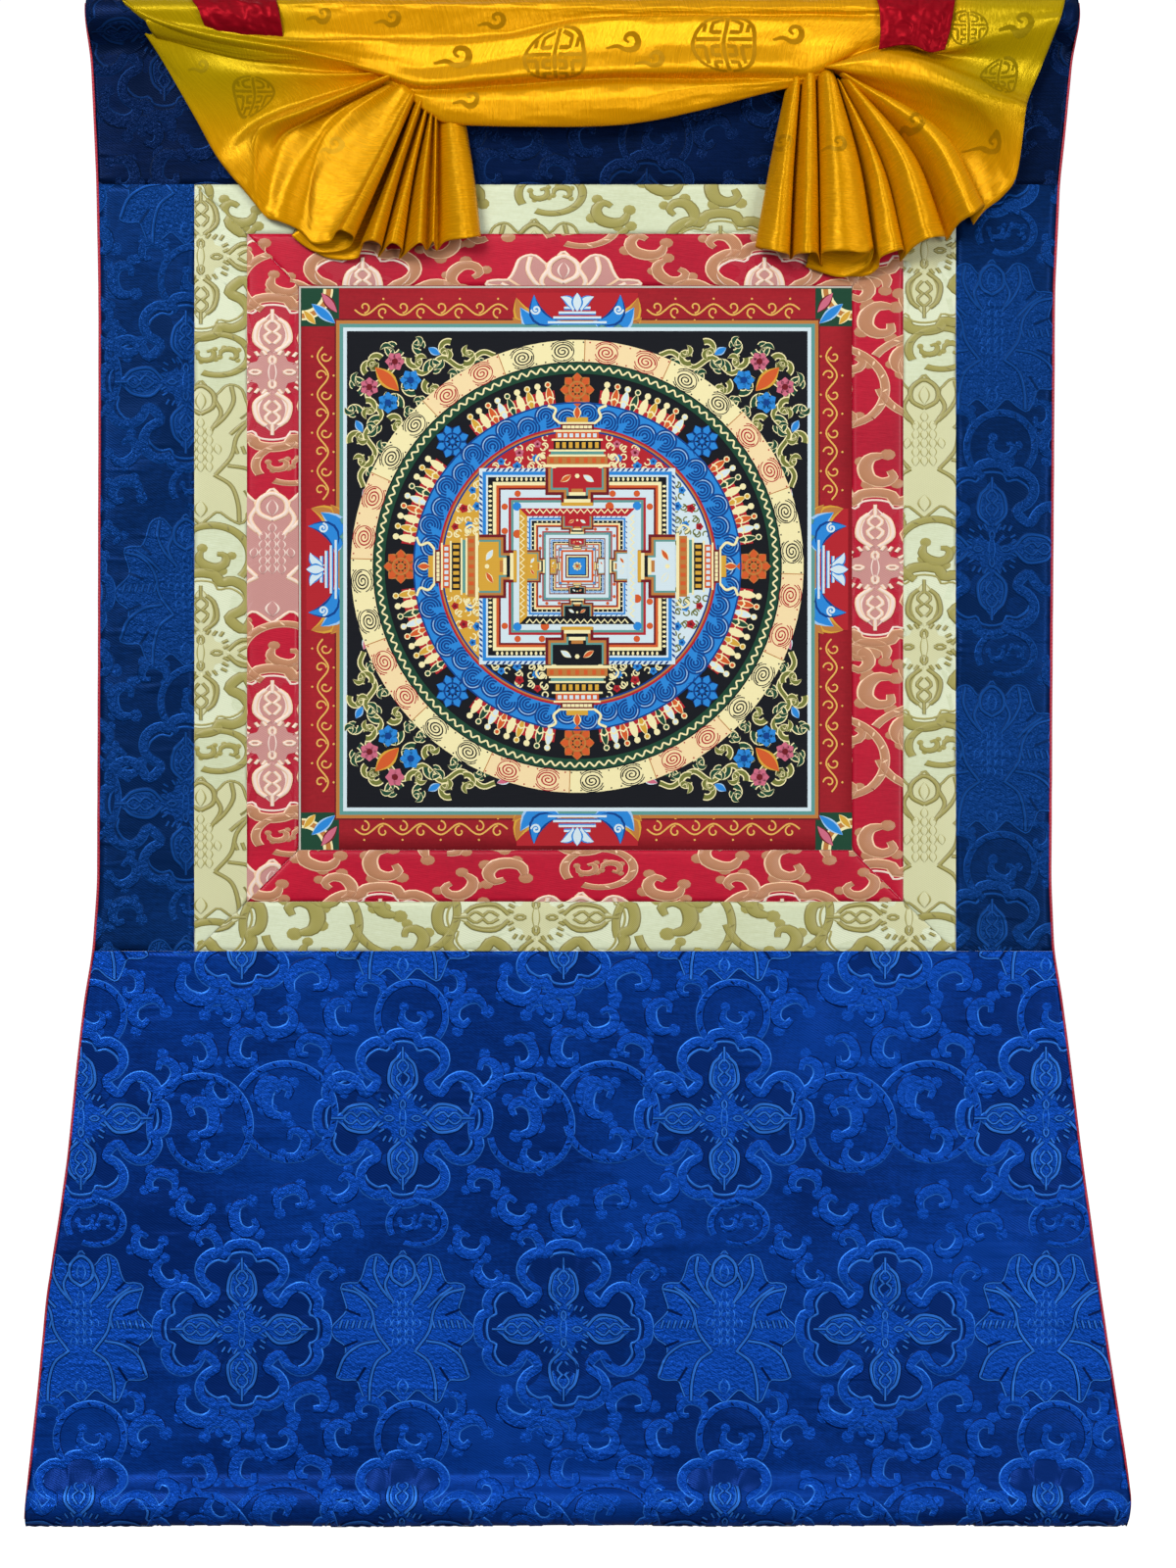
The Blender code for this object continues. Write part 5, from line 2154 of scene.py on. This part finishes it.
LEFT_FAN: tuple[Line, ...] = (
    ((384, 70, 8), (290, 49, 6), (200, 26, 5), (124, 2, 5)),
    ((382, 73, 16), (297, 54, 15.5), (220, 41, 16), (160, 24, 16.5), (127, 4, 13)),
    ((384, 76, 14), (297, 62, 11), (215, 48, 11), (152, 27, 12), (131, 11, 12)),
    ((386, 77, 11), (330, 74, 8), (236, 60, 6.5), (172, 38, 8), (138, 22, 8)),
    ((389, 79, 15), (333, 80, 11.5), (240, 79, 9), (190, 75, 7), (163, 58, 6)),
    ((391, 81, 12), (320, 92, 7.5), (250, 105, 6), (200, 122, 4)),
    ((392, 82, 11), (320, 103, 6.5), (262, 124, 5), (218, 155, 3.5)),
    ((391, 83, 16), (345, 99, 13.5), (295, 118, 12.5), (262, 134, 10), (240, 162, 6), (232, 175, 4)),
    ((392, 85, 19), (347, 104, 17), (310, 119, 16.5), (272, 133, 15), (262, 147, 12), (258, 175, 8.5),
     (250, 196, 5)),
    ((393, 87, 17), (347, 108, 12.5), (312, 124, 11), (284, 138, 10), (270, 160, 8), (264, 190, 7),
     (263, 212, 5)),
    ((394, 88, 9), (345, 110, 5), (312, 127, 4.5), (290, 143, 5), (282, 170, 6), (276, 195, 6),
     (274, 224, 5)),
    ((396, 90, 12), (345, 117, 9), (325, 140, 9.5), (299, 184, 10), (287, 228, 7)),
    ((399, 93, 12), (350, 125, 9), (325, 160, 9), (305, 236, 5)),
    ((404, 98, 17), (360, 140, 13), (325, 190, 11.5), (320, 250, 8)),
    ((410, 105, 19), (378, 150, 17), (350, 195, 15), (337, 250, 11)),
    ((415, 109, 19), (385, 165, 18), (345, 240, 15)),
    ((418, 111, 21), (391, 166, 22), (352, 240, 20)),
    ((420, 113, 18), (397, 170, 17.5), (362, 246, 13)),
    ((421, 114, 9), (392, 172, 8), (352, 257, 7)),
    ((421, 114, 7), (385, 172, 5), (322, 258, 4)),
    ((421, 114, 5), (375, 172, 3), (298, 241, 3)),
    ((421, 114, 5), (385, 172, 2.5), (332, 263, 2.5)),
    ((421, 114, 7), (396, 172, 5), (364, 265, 4)),
    ((423, 115, 15), (400, 178, 13), (369, 252, 10)),
    ((427, 117, 20), (404, 180, 20.5), (381, 250, 19)),
    ((429, 118, 17), (409, 182, 15), (390, 254, 11)),
    ((430, 119, 8), (408, 184, 6), (386, 264, 4)),
    ((434, 120, 17), (417, 185, 17), (400, 252, 16)),
    ((436, 121, 15), (422, 186, 13), (411, 257, 10)),
    ((437, 122, 8), (420, 188, 5), (408, 265, 3.5)),
    ((441, 123, 18), (433, 188, 19), (429, 252, 18)),
    ((443, 124, 11), (439, 190, 9), (436, 257, 7)),
    ((446, 125, 17), (445, 190, 17), (443, 250, 15)),
    ((448, 126, 8), (446, 190, 6), (446, 257, 5)),
    ((453, 127, 13), (454, 190, 12), (455, 249, 10)),
    ((462, 128, 16), (469, 178, 17), (477, 247, 17)),
    ((472, 129, 12), (482, 180, 12), (489, 244, 12)),
    ((476, 130, 6), (484, 180, 5), (491, 243, 5)),
)
SWAG: tuple[Line, ...] = (
    ((124, -1, 8), (300, -1, 8), (500, -1, 8), (700, -1, 8), (935, -1, 8)),
    ((132, 6, 12.5), (300, 6, 13), (500, 6, 13), (700, 6, 13), (935, 5, 13)),
    ((140, 14, 15.2), (300, 15, 15.5), (480, 14, 15.2), (700, 14, 15.5), (935, 14, 15.5)),
    ((150, 22, 14.8), (250, 34, 15), (313, 41, 15.5), (380, 42, 14.5), (440, 41, 13.5), (517, 37, 13.6),
     (590, 23, 14), (661, 20, 14.2), (765, 20, 14.4), (860, 20, 14.5), (935, 22, 15)),
    ((152, 28, 15), (250, 42, 15), (313, 48, 17), (370, 47, 17.5), (430, 51, 17.5), (517, 46, 17),
     (590, 31, 16.5), (661, 26, 16.5), (765, 26, 16.5), (860, 27, 17), (930, 32, 16)),
    ((155, 34, 13), (250, 50, 13), (320, 56, 15.5), (400, 70, 17), (450, 72, 17), (560, 60, 17),
     (700, 52, 17.5), (790, 50, 18), (850, 48, 17.5), (910, 42, 14)),
    ((158, 38, 11), (250, 56, 11), (330, 64, 14), (392, 80, 18), (430, 90, 20.5), (470, 88, 20.5),
     (560, 80, 20.5), (700, 76, 21), (790, 75, 20.5), (835, 72, 18), (880, 52, 13), (897, 44, 10)),
    ((160, 40, 9), (250, 60, 9), (335, 68, 11), (396, 84, 14), (428, 96, 15.5), (500, 92, 13.5),
     (620, 84, 13), (700, 84.5, 13.5), (770, 84, 15), (822, 83, 15.5), (862, 66, 10), (893, 52, 8)),
    ((161, 41, 8), (250, 62, 8), (338, 70, 9), (400, 88, 13), (430, 103, 17), (500, 101, 18.5),
     (620, 94, 18), (700, 92, 18), (770, 89, 17.5), (822, 84.5, 14.5), (862, 68, 9), (893, 53, 7)),
    ((162, 42, 7), (250, 63, 7), (340, 72, 8), (403, 92, 12), (436, 116, 17), (475, 121, 19),
     (560, 117, 19.5), (640, 113, 19), (710, 104, 18), (770, 95, 17), (824, 86, 13), (863, 69, 8),
     (894, 54, 6)),
    ((163, 43, 6), (250, 64, 6), (341, 73, 7), (405, 95, 10), (440, 121, 13.5), (466, 131, 14.5),
     (560, 133, 14.5), (640, 130, 14), (710, 117, 13.5), (775, 100, 13), (826, 87, 11), (864, 70, 7),
     (895, 55, 5)),
    ((164, 42, 4.5), (250, 60, 4), (341, 70, 4), (407, 92, 6), (442, 116, 6.5), (466, 125, 6),
     (560, 127, 6), (640, 124, 6), (710, 112, 6), (775, 96, 6), (826, 85, 6), (864, 68, 4), (895, 53, 4)),
)
RIGHT_FAN: tuple[Line, ...] = (
    ((806, 92, 5), (790, 160, 4), (778, 256, 3)),
    ((801, 93, 9), (785, 170, 9), (770, 254, 9)),
    ((804, 94, 14), (790, 172, 15), (777, 257, 15)),
    ((809, 94, 18), (799, 175, 20), (791, 261, 20)),
    ((814, 93, 16), (808, 176, 16), (803, 263, 15)),
    ((816, 92, 8), (808, 178, 5), (806, 266, 5)),
    ((818, 91, 14), (814, 178, 14), (811, 263, 14)),
    ((824, 90, 19), (823, 178, 21), (822, 263, 21)),
    ((830, 90, 16), (832, 178, 16), (832, 262, 15)),
    ((832, 90, 8), (834, 180, 6), (838, 273, 5)),
    ((835, 90, 15), (837, 178, 15), (838, 262, 15)),
    ((843, 90, 20), (852, 175, 22), (858, 261, 22)),
    ((850, 92, 19), (868, 172, 19), (882, 262, 18)),
    ((854, 94, 15), (876, 172, 13), (890, 256, 11)),
    ((853, 95, 9), (874, 174, 8), (884, 274, 8)),
    ((853, 95, 7), (868, 174, 5), (858, 284, 5)),
    ((850, 95, 6), (845, 174, 4), (822, 273, 3.5)),
    ((850, 95, 5), (850, 174, 3), (845, 280, 2.5)),
    ((854, 95, 6), (870, 176, 4), (880, 283, 4)),
    ((856, 96, 8), (880, 178, 6), (895, 275, 6)),
    ((857, 97, 13), (884, 176, 13), (897, 266, 13)),
    ((859, 97, 17), (892, 172, 18), (912, 260, 17)),
    ((861, 97, 14), (899, 172, 13), (921, 258, 11)),
    ((861, 97, 7), (898, 174, 4), (918, 268, 4)),
    ((864, 96, 14), (905, 168, 14), (930, 256, 14)),
    ((869, 95, 19), (918, 165, 21), (945, 248, 21)),
    ((873, 94, 16), (930, 162, 16), (962, 245, 14)),
    ((872, 94, 7), (932, 165, 4), (966, 246, 4)),
    ((866, 90, 15), (938, 152, 16), (976, 232, 16)),
    ((868, 87, 20), (948, 145, 23), (990, 224, 23)),
    ((871, 86, 17), (958, 138, 18), (1002, 214, 16)),
    ((870, 88, 8), (957, 150, 6), (992, 231, 6)),
    ((866, 85, 8), (960, 140, 4), (1004, 216, 4)),
    ((864, 83, 11), (985, 135, 9), (1022, 202, 7)),
    ((862, 80, 15), (990, 122, 15), (1036, 180, 10)),
    ((856, 77, 19), (935, 88, 23), (995, 106, 23), (1043, 120, 19)),
    ((852, 73, 20), (925, 68, 22), (985, 86, 20), (1046, 108, 15)),
    ((850, 70, 18), (900, 57, 18), (940, 63, 16), (990, 78, 13), (1050, 97, 11)),
    ((862, 64, 13), (905, 50, 12), (955, 58, 11), (1005, 62, 11), (1062, 68, 10)),
    ((864, 58, 13), (905, 40, 16), (950, 57, 17.5), (1015, 42, 17.5), (1077, 29, 17)),
    ((866, 50, 13), (905, 25, 16), (955, 32, 16.5), (1015, 22, 16.5), (1081, 17, 16)),
    ((866, 40, 13), (905, 8, 13.5), (955, 7, 13.5), (1015, 6, 13.5), (1084, 5, 13)),
    ((866, 30, 9), (905, -1, 8), (955, -1, 8), (1015, -1, 8), (1085, -1, 8)),
)
LEFT_RIBBON: tuple[Line, ...] = (
    ((194, -1, 10), (199, 6, 15), (205, 15, 18), (209, 26, 18), (214, 37, 10)),
    ((216, -1, 11), (219, 6, 16), (223, 15, 19.5), (226, 28, 18.5), (229, 46, 10)),
    ((240, -1, 10), (242, 6, 15.5), (246, 15, 18.5), (250, 29, 19.5), (252, 50, 10)),
    ((262, -1, 11), (264, 6, 16), (267, 15, 19.5), (271, 31, 18.5), (274, 54, 9)),
    ((283, -1, 10), (284, 6, 15), (287, 16, 18), (290, 34, 18), (292, 55, 9)),
)
RIGHT_RIBBON: tuple[Line, ...] = (
    ((891.5, -1, 11), (893, 6, 16), (895, 17, 19), (895.6, 41, 20.5), (894, 57, 20)),
    ((912, -1, 12), (912, 6, 17), (913, 17, 20.5), (914, 38, 21.5), (915, 53, 21.5)),
    ((933, -1, 11), (932, 6, 16.5), (932, 17, 19.5), (931, 38, 22), (930, 54, 22)),
    ((954, -1, 12), (953, 6, 17), (951, 18, 20.5), (948, 42, 21.5), (946, 60, 21)),
    ((973.6, -1, 11), (972, 6, 16), (970, 18, 19), (966, 40, 20), (961, 57, 20)),
)


@dataclass(frozen=True)
class Draped:
    """Cloth lofted through the lines of its folds, with fine crumples."""

    name: str
    lines: tuple[Line, ...]
    stations: int = 64
    parts: int = 7
    crumple: float = 0.35 * MM
    cells: Point = (0.9, 14.0)
    facets: float = 0.0
    seed: int = 7
    tuck: float = 0.0
    hem: float = 0.0
    tuck_depth: float = 4 * MM
    thickness: float = 0.35 * MM

    def line(self, places: Line) -> Array:
        """Points of one line at even distances, from a tuck behind its first place if it has one.

        Args:
            places: Its places in the photograph.

        Returns:
            Rows of x, drop and depth.
        """
        points = np.array(places, float) * [STEP, STEP, MM]
        points = points - [PHOTO_MIDDLE * STEP, PHOTO_TOP * STEP, 0]
        if self.tuck:
            back = points[0] - points[1]
            behind = points[0] + back * self.tuck / np.linalg.norm(back[:2]) - [0, 0, self.tuck_depth]
            points = np.vstack([behind, points])
        return spaced(spline(points, 16), self.stations)

    def points(self) -> Array:
        """Grid of points: the lines joined by a smooth curve across them, with noise in their depth.

        Returns:
            Points, folds by stations by 3.
        """
        rows = np.stack([self.line(places) for places in self.lines])
        grid = spline(rows.reshape(len(rows), -1), self.parts).reshape(-1, self.stations, 3)
        over = np.arange(len(grid))[:, None] / self.parts
        along = np.linspace(0, 1, self.stations)[None]
        noise = lattice_noise(over * self.cells[0] * 2, along * self.cells[1], self.seed)
        fine = lattice_noise(over * 4.3, along * self.cells[1] * 3, self.seed + 1)
        x, drop, depth = np.moveaxis(grid, -1, 0)
        depth = depth + self.crumple * smooth(along, 0.0, 0.15) * (noise + 0.45 * fine)
        ruffle = lattice_noise(over * 3.1, along * 60, self.seed + 3)
        depth = depth + self.hem * smooth(along, 0.90, 0.96) * ruffle
        if self.facets:
            slanted = over * 2.6 + along, along * 6 - over * 0.7
            depth = depth + self.facets * (1 - 2 * np.abs(lattice_noise(*slanted, self.seed + 2)))
        return np.stack([x, -depth, -drop], -1)

    @staticmethod
    def normals(points: Array) -> Array:
        """Unit normals towards the viewer: the cross product of the grid's two slopes.

        Args:
            points: Grid of points.

        Returns:
            Their normals.
        """
        normals = np.cross(np.gradient(points, axis=0), np.gradient(points, axis=1))
        normals /= np.maximum(np.linalg.norm(normals, axis=2, keepdims=True), 1e-12)
        return normals * -np.sign(normals[..., 1:2])

    def turned(self, points: Array) -> Array:
        """Painted bounce light: how far the cloth turns down or to the right, away from the key lamp, as a
        soft step of the normal's share that way.
        """
        normals = self.normals(points)
        return smooth(0.8 * normals[..., 0] - 0.6 * normals[..., 2], -0.50, 0.42)

    @staticmethod
    def thin(points: Array) -> Array:
        """Olive tint: soft steps towards its two upper corners.

        Args:
            points: Points in space.

        Returns:
            0 to 0.8 at each.
        """
        x, drop = points[..., 0], -points[..., 2]
        outward = np.maximum(smooth(-x, 0.14, 0.23), smooth(x, 0.20, 0.27))
        return 0.8 * outward * (1 - smooth(drop, 0.045, 0.115))

    def build(self, finish: Finish) -> bpy.types.Object:
        """Makes the sheet, with a map that follows its own threads.

        Args:
            finish: Its finish.

        Returns:
            The object.
        """
        points = self.points()
        wide = np.linalg.norm(np.diff(points, axis=0), axis=2).mean(1)
        tall = np.linalg.norm(np.diff(points, axis=1), axis=2).mean(0)
        runs = np.append(0, wide.cumsum()), np.append(0, tall.cumsum())
        places = np.stack(np.meshgrid(*runs, indexing="ij"), -1)
        piece = new_piece(self.name, points, grid_faces(*points.shape[:2]), places)
        # Painted bounce light: weight of the lighter orange where the cloth faces away from the key lamp
        mark(piece, TURNED, self.turned(points))
        # Olive tint towards the two upper corners
        mark(piece, THIN, self.thin(points))
        piece.data.materials.append(finish.material())
        modifier = piece.modifiers.new("thickness", "SOLIDIFY")
        modifier.thickness = self.thickness
        modifier.offset = 0.0
        log.info("%s: %d faces", piece.name, len(piece.data.polygons))
        return piece

    def stamped(self, figures: Sequence[tuple[Figure, Point]], lift: float) -> Array:
        """Places of figures laid on the cloth, each where it shows at a place of the photograph.

        A figure's own plane is brought to the grid's two parameters by the slope of the grid there.

        Args:
            figures: Drawings in steps, and the column and row of the middle of each.
            lift: Height above the cloth.

        Returns:
            Points in space.
        """
        points = self.points()
        flat = points[..., [0, 2]] * [1, -1]
        raised = points + self.normals(points) * lift
        slopes = np.stack([np.gradient(flat, axis=0), np.gradient(flat, axis=1)], -1)
        found = []
        for figure, middle in figures:
            shown = np.linalg.norm(flat - np.array(spot(*middle)), axis=2) + 0.05 * points[..., 1]
            i, j = np.unravel_index(np.argmin(shown), shown.shape)
            where = (figure.places[:, :2] * STEP) @ np.linalg.pinv(slopes[i, j]).T + [i, j]
            where = np.clip(where, 0, np.array(points.shape[:2]) - 1.001)
            low = np.floor(where).astype(int)
            share = where - low
            found.append(sum(
                raised[low[:, 0] + a, low[:, 1] + b]
                * (share[:, :1] if a else 1 - share[:, :1])
                * (share[:, 1:] if b else 1 - share[:, 1:])
                for a in (0, 1) for b in (0, 1)
            ))
        return np.concatenate(found)


# Its turned colour is painted bounce light on folds turned away from the key lamp; its thin colour is an
# olive tint towards the upper corners
VEIL_SILK = Finish(
    "veil_silk", "ce8e00", "c08200", 0.27, 0.9, 0.0, 1500, 0.0, 2.6, 0.07, 0.5, 0.22,
    fineness=0.55, turned="de9400", thin="9c8c00", shine="ffe048",
)
VEIL_FIGURE = Finish(
    "veil_figure", "a87100", "9c6800", 0.36, 0.8, 0.0, 1100, 1.0, 0.8, 0.03, 0.5, 0.16,
    thin="7c6e00", shine="ffe048",
)
RIBBON_SATIN = Finish(
    "ribbon_satin", "980a1c", "780612", 0.40, 0.3, 0.0, 1500, 0.0, 0.8, 0.015, 0.8, 0.3, shine="ff5a5a",
)
PIPING_SILK = Finish("piping_silk", "c4283c", "a91c30", 0.45, 0.5, 0.1, 420, 0.8, 0.5, 0.2)


@dataclass(frozen=True)
class Trimmings:
    """Veil with its woven figures, the two ribbons and the piping."""

    outline: Outline
    piping_radius: float = 0.9 * MM
    piping_sunk: float = 0.15 * MM
    piping_ends: Point = (4 * MM, 986 * MM)
    figure_lift: float = 0.28 * MM

    @staticmethod
    @drawing
    def half_fret(radius: float) -> Iterator[Figure]:
        """Right half of a key pattern in a ring.

        Args:
            radius: Radius of the ring.

        Yields:
            Half the ring, and the strokes.
        """
        stroke = 0.06 * radius
        yield band(arc(radius * 0.95, -84, 84), stroke, 0)
        for points in (
            ((0.12, -0.78), (0.45, -0.62), (0.45, -0.36), (0.12, -0.36)), ((0.12, -0.16), (0.86, -0.16)),
            ((0.12, 0.06), (0.36, 0.06), (0.36, 0.34), (0.12, 0.34)), ((0.56, 0.06), (0.86, 0.06)),
            ((0.56, 0.06), (0.56, 0.62)), ((0.12, 0.56), (0.36, 0.56), (0.36, 0.80)),
            ((0.66, -0.36), (0.66, -0.60)),
        ):
            yield band(even(np.array(points, float) * radius, 3.0), stroke, 0)

    def roundel(self, radius: float) -> Figure:
        """Round woven figure: a ring round a key pattern that is the same on both sides."""
        middle = even(np.array([(0, -0.9), (0, 0.9)]) * radius, 3.0)
        return Figure.joined([self.half_fret(radius).both(), band(middle, 0.06 * radius, 0)])

    @staticmethod
    def cloud(size: float) -> Figure:
        """Curled cloud with a lobed back and a drawn-out tail.

        Args:
            size: About its height.

        Returns:
            The figure.
        """
        head = [(0.1, 0.1), (-0.12, -0.08), (0.06, -0.32), (0.4, -0.28), (0.56, 0.08), (0.34, 0.46)]
        line = np.array([*head, (-0.1, 0.52), (-0.5, 0.3), (-1.1, 0.42)]) * size
        path = even(spline(line, 6), 1.8)
        half = size * (0.06 + 0.11 * np.sin(np.pi * np.linspace(0, 1, len(path))))
        return band(path, half, 0)

    def veil(self) -> None:
        """The two fans and the swag between them, with their woven figures."""
        fan = {"tuck": 9 * MM, "hem": 0.5 * MM}
        parts = (  # cloth, its cut size, and its roundels and clouds: size, column, row
            (Draped("veil_left_fan", LEFT_FAN, crumple=0.2 * MM, seed=7, **fan), (0.20, 0.17),
             [(21, 262, 97)], [(16, 340, 150), (12, 205, 70)]),
            (Draped("veil_swag", SWAG, 220, 7, 0.7 * MM, (0.5, 12.0), seed=17), (0.51, 0.08),
             [(32, 565, 66), (33, 737, 50)],
             [(22, 468, 62), (20, 640, 46), (18, 806, 40), (16, 505, 24), (15, 478, 104),
              (17, 665, 66), (14, 330, 20), (15, 400, 22)]),
            (Draped("veil_right_fan", RIGHT_FAN, crumple=0.25 * MM, seed=27, **fan), (0.22, 0.15),
             [(20, 985, 33), (19, 1015, 86)],
             [(20, 1038, 26), (17, 930, 130), (15, 795, 150), (14, 852, 150), (16, 1010, 150)]),
        )
        for draped, flat, roundels, clouds in parts:
            piece = draped.build(VEIL_SILK)
            figures = [(self.roundel(size), middle) for size, *middle in roundels]
            figures += [(self.cloud(size), middle) for size, *middle in clouds]
            points = draped.stamped(figures, self.figure_lift)
            corners = Figure.joined(figure for figure, _ in figures).corners
            laid = new_piece(draped.name + "_figures", points, corners, points[:, [0, 2]])
            # Olive tint of the figures towards the veil's upper corners
            mark(laid, THIN, draped.thin(points))
            laid.data.materials.append(VEIL_FIGURE.material())
            if draped.lines is SWAG:
                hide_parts("veil")

    def ribbons(self) -> None:
        """The two crumpled satin ribbons."""
        for name, lines, seed in (("left_ribbon", LEFT_RIBBON, 41), ("right_ribbon", RIGHT_RIBBON, 51)):
            draped = Draped(name + "_cloth", lines, 48, 14, 0.4 * MM, (1.2, 7.0), 0.6 * MM, seed)
            piece = draped.build(RIBBON_SATIN)
            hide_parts(name)

    def piping(self) -> None:
        """Round piping down both side edges: a circle carried down each edge of the outline."""
        drop = np.linspace(*self.piping_ends, 500)
        turn = np.linspace(0, 2 * np.pi, 9)
        for name, edge, side in (
            ("left_piping", self.outline.left, -1), ("right_piping", self.outline.right, 1),
        ):
            middle = edge(drop) + side * (self.piping_radius - self.piping_sunk)
            depth = Drape(wrinkles=PANEL_WRINKLES).depth(middle, drop)
            x = middle[:, None] + self.piping_radius * np.cos(turn)
            y = -depth[:, None] - self.piping_radius * np.sin(turn) * side
            points = np.stack([x, y, np.broadcast_to(-drop[:, None], x.shape)], -1)
            around = np.broadcast_to(turn * self.piping_radius, x.shape)
            places = np.stack([around, points[..., 2]], -1)
            piece = new_piece(name + "_cord", points, grid_faces(*x.shape), places)
            piece.data.materials.append(PIPING_SILK.material())
            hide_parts(name)
            log.info("%s: %d faces", piece.name, len(piece.data.polygons))

    def build(self) -> None:
        """Makes all of them."""
        self.veil()
        self.ribbons()
        self.piping()


# Stage --------------------------------------------------------------------------------------------
@dataclass(frozen=True)
class Stage:
    """Pale floor, soft studio light and the camera."""

    frame_height: float = 1600 * STEP
    frame_middle: Point = spot(600, 800)
    distance: float = 2.4
    sensor: float = 36.0
    floor_drop: float = 1.03
    floor_glow: float = 1.0
    floor_wide: Point = (-1.7, 1.7)
    floor_deep: Point = (-2.0, 0.5)
    ambient: float = 0.27
    backdrop: float = 1.1
    aim: tuple[float, float, float] = (0.0, 0.0, -0.45)
    lamps: tuple[tuple[str, tuple[float, float, float], float, float], ...] = (
        ("key", (-1.7, -3.2, 1.7), 1.5, 117.0),
        ("sky", (0.2, -1.4, 2.4), 1.6, 8.0),
        ("fill", (1.9, -2.4, -0.20), 1.2, 34.0),
        ("rim", (0.2, 1.6, 1.2), 1.4, 8.0),
    )

    def build(self) -> None:
        """Makes the floor, the light all round, the lamps and the camera."""
        self.floor()
        self.world()
        for lamp in self.lamps:
            self.lamp(*lamp)
        self.camera()

    def floor(self) -> None:
        """Floor that the camera sees as white."""
        (left, right), (front, back) = self.floor_wide, self.floor_deep
        places = np.array([(left, front), (right, front), (right, back), (left, back)])
        points = np.column_stack([places, np.full(4, -self.floor_drop)])
        floor = new_piece("floor", points, np.array([[0, 1, 2, 3]]), places)
        del floor["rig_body"]
        material = bpy.data.materials.new("pale_floor")
        material.use_nodes = True
        wiring = Wiring(material.node_tree)
        seen = wiring.add("LightPath").outputs["Is Camera Ray"]
        wiring.feed(material.node_tree.nodes["Principled BSDF"], {
            "Base Color": (0.2, 0.2, 0.2, 1.0), "Roughness": 0.9,
            "Emission Color": (1.0, 1.0, 1.0, 1.0),
            "Emission Strength": wiring.times(seen, self.floor_glow),
        })
        floor.data.materials.append(material)

    def world(self) -> None:
        """Pale all round, and white where the camera looks past the hanging."""
        world = bpy.data.worlds.new("studio")
        bpy.context.scene.world = world
        world.use_nodes = True
        wiring = Wiring(world.node_tree)
        seen = wiring.add("LightPath").outputs["Is Camera Ray"]
        lit = wiring.math("MULTIPLY_ADD", seen, self.backdrop - self.ambient, self.ambient)
        background = world.node_tree.nodes["Background"]
        wiring.feed(background, {"Color": (0.94, 0.97, 1.0, 1.0), "Strength": lit})

    def lamp(self, name: str, place: tuple[float, float, float], size: float, power: float) -> None:
        """Broad soft lamp aimed at the middle of the hanging.

        Args:
            name: Its name.
            place: Where it is.
            size: Its side.
            power: Its power in watts.
        """
        lamp = bpy.data.lights.new(name, "AREA")
        lamp.size = size
        lamp.energy = power
        x, y, z = np.array(place) - np.array(self.aim)
        self.put(lamp, place, (math.atan2(math.hypot(x, y), z), 0.0, math.atan2(x, -y)))

    def camera(self) -> None:
        """Camera square in front of the hanging, with the photograph's frame at the cloth."""
        lens = bpy.data.cameras.new("camera")
        lens.sensor_width = self.sensor
        lens.lens = self.sensor * self.distance / self.frame_height
        x, drop = self.frame_middle
        bpy.context.scene.camera = self.put(lens, (x, -self.distance, -drop), (math.pi / 2, 0.0, 0.0))

    @staticmethod
    def put(
        data: bpy.types.ID, place: tuple[float, float, float], turn: tuple[float, float, float]
    ) -> bpy.types.Object:
        """Puts a lamp or a camera into the scene, under its own name.

        Args:
            data: The lamp or camera.
            place: Where it is.
            turn: How it is turned, in radians.

        Returns:
            The object.
        """
        holder = bpy.data.objects.new(data.name, data)
        holder.location = place
        holder.rotation_euler = turn
        bpy.context.scene.collection.objects.link(holder)
        return holder


def main() -> None:
    """Builds the looks piece by piece."""
    logging.basicConfig(level=logging.INFO, format="%(name)s %(message)s", stream=sys.stdout)
    bpy.context.scene.view_settings.view_transform = "Standard"
    Stage().build()
    outline = Outline.from_nodes()
    Mount(outline).build()
    Painting().build()
    Trimmings(outline).build()


if __name__ == "__main__":
    main()
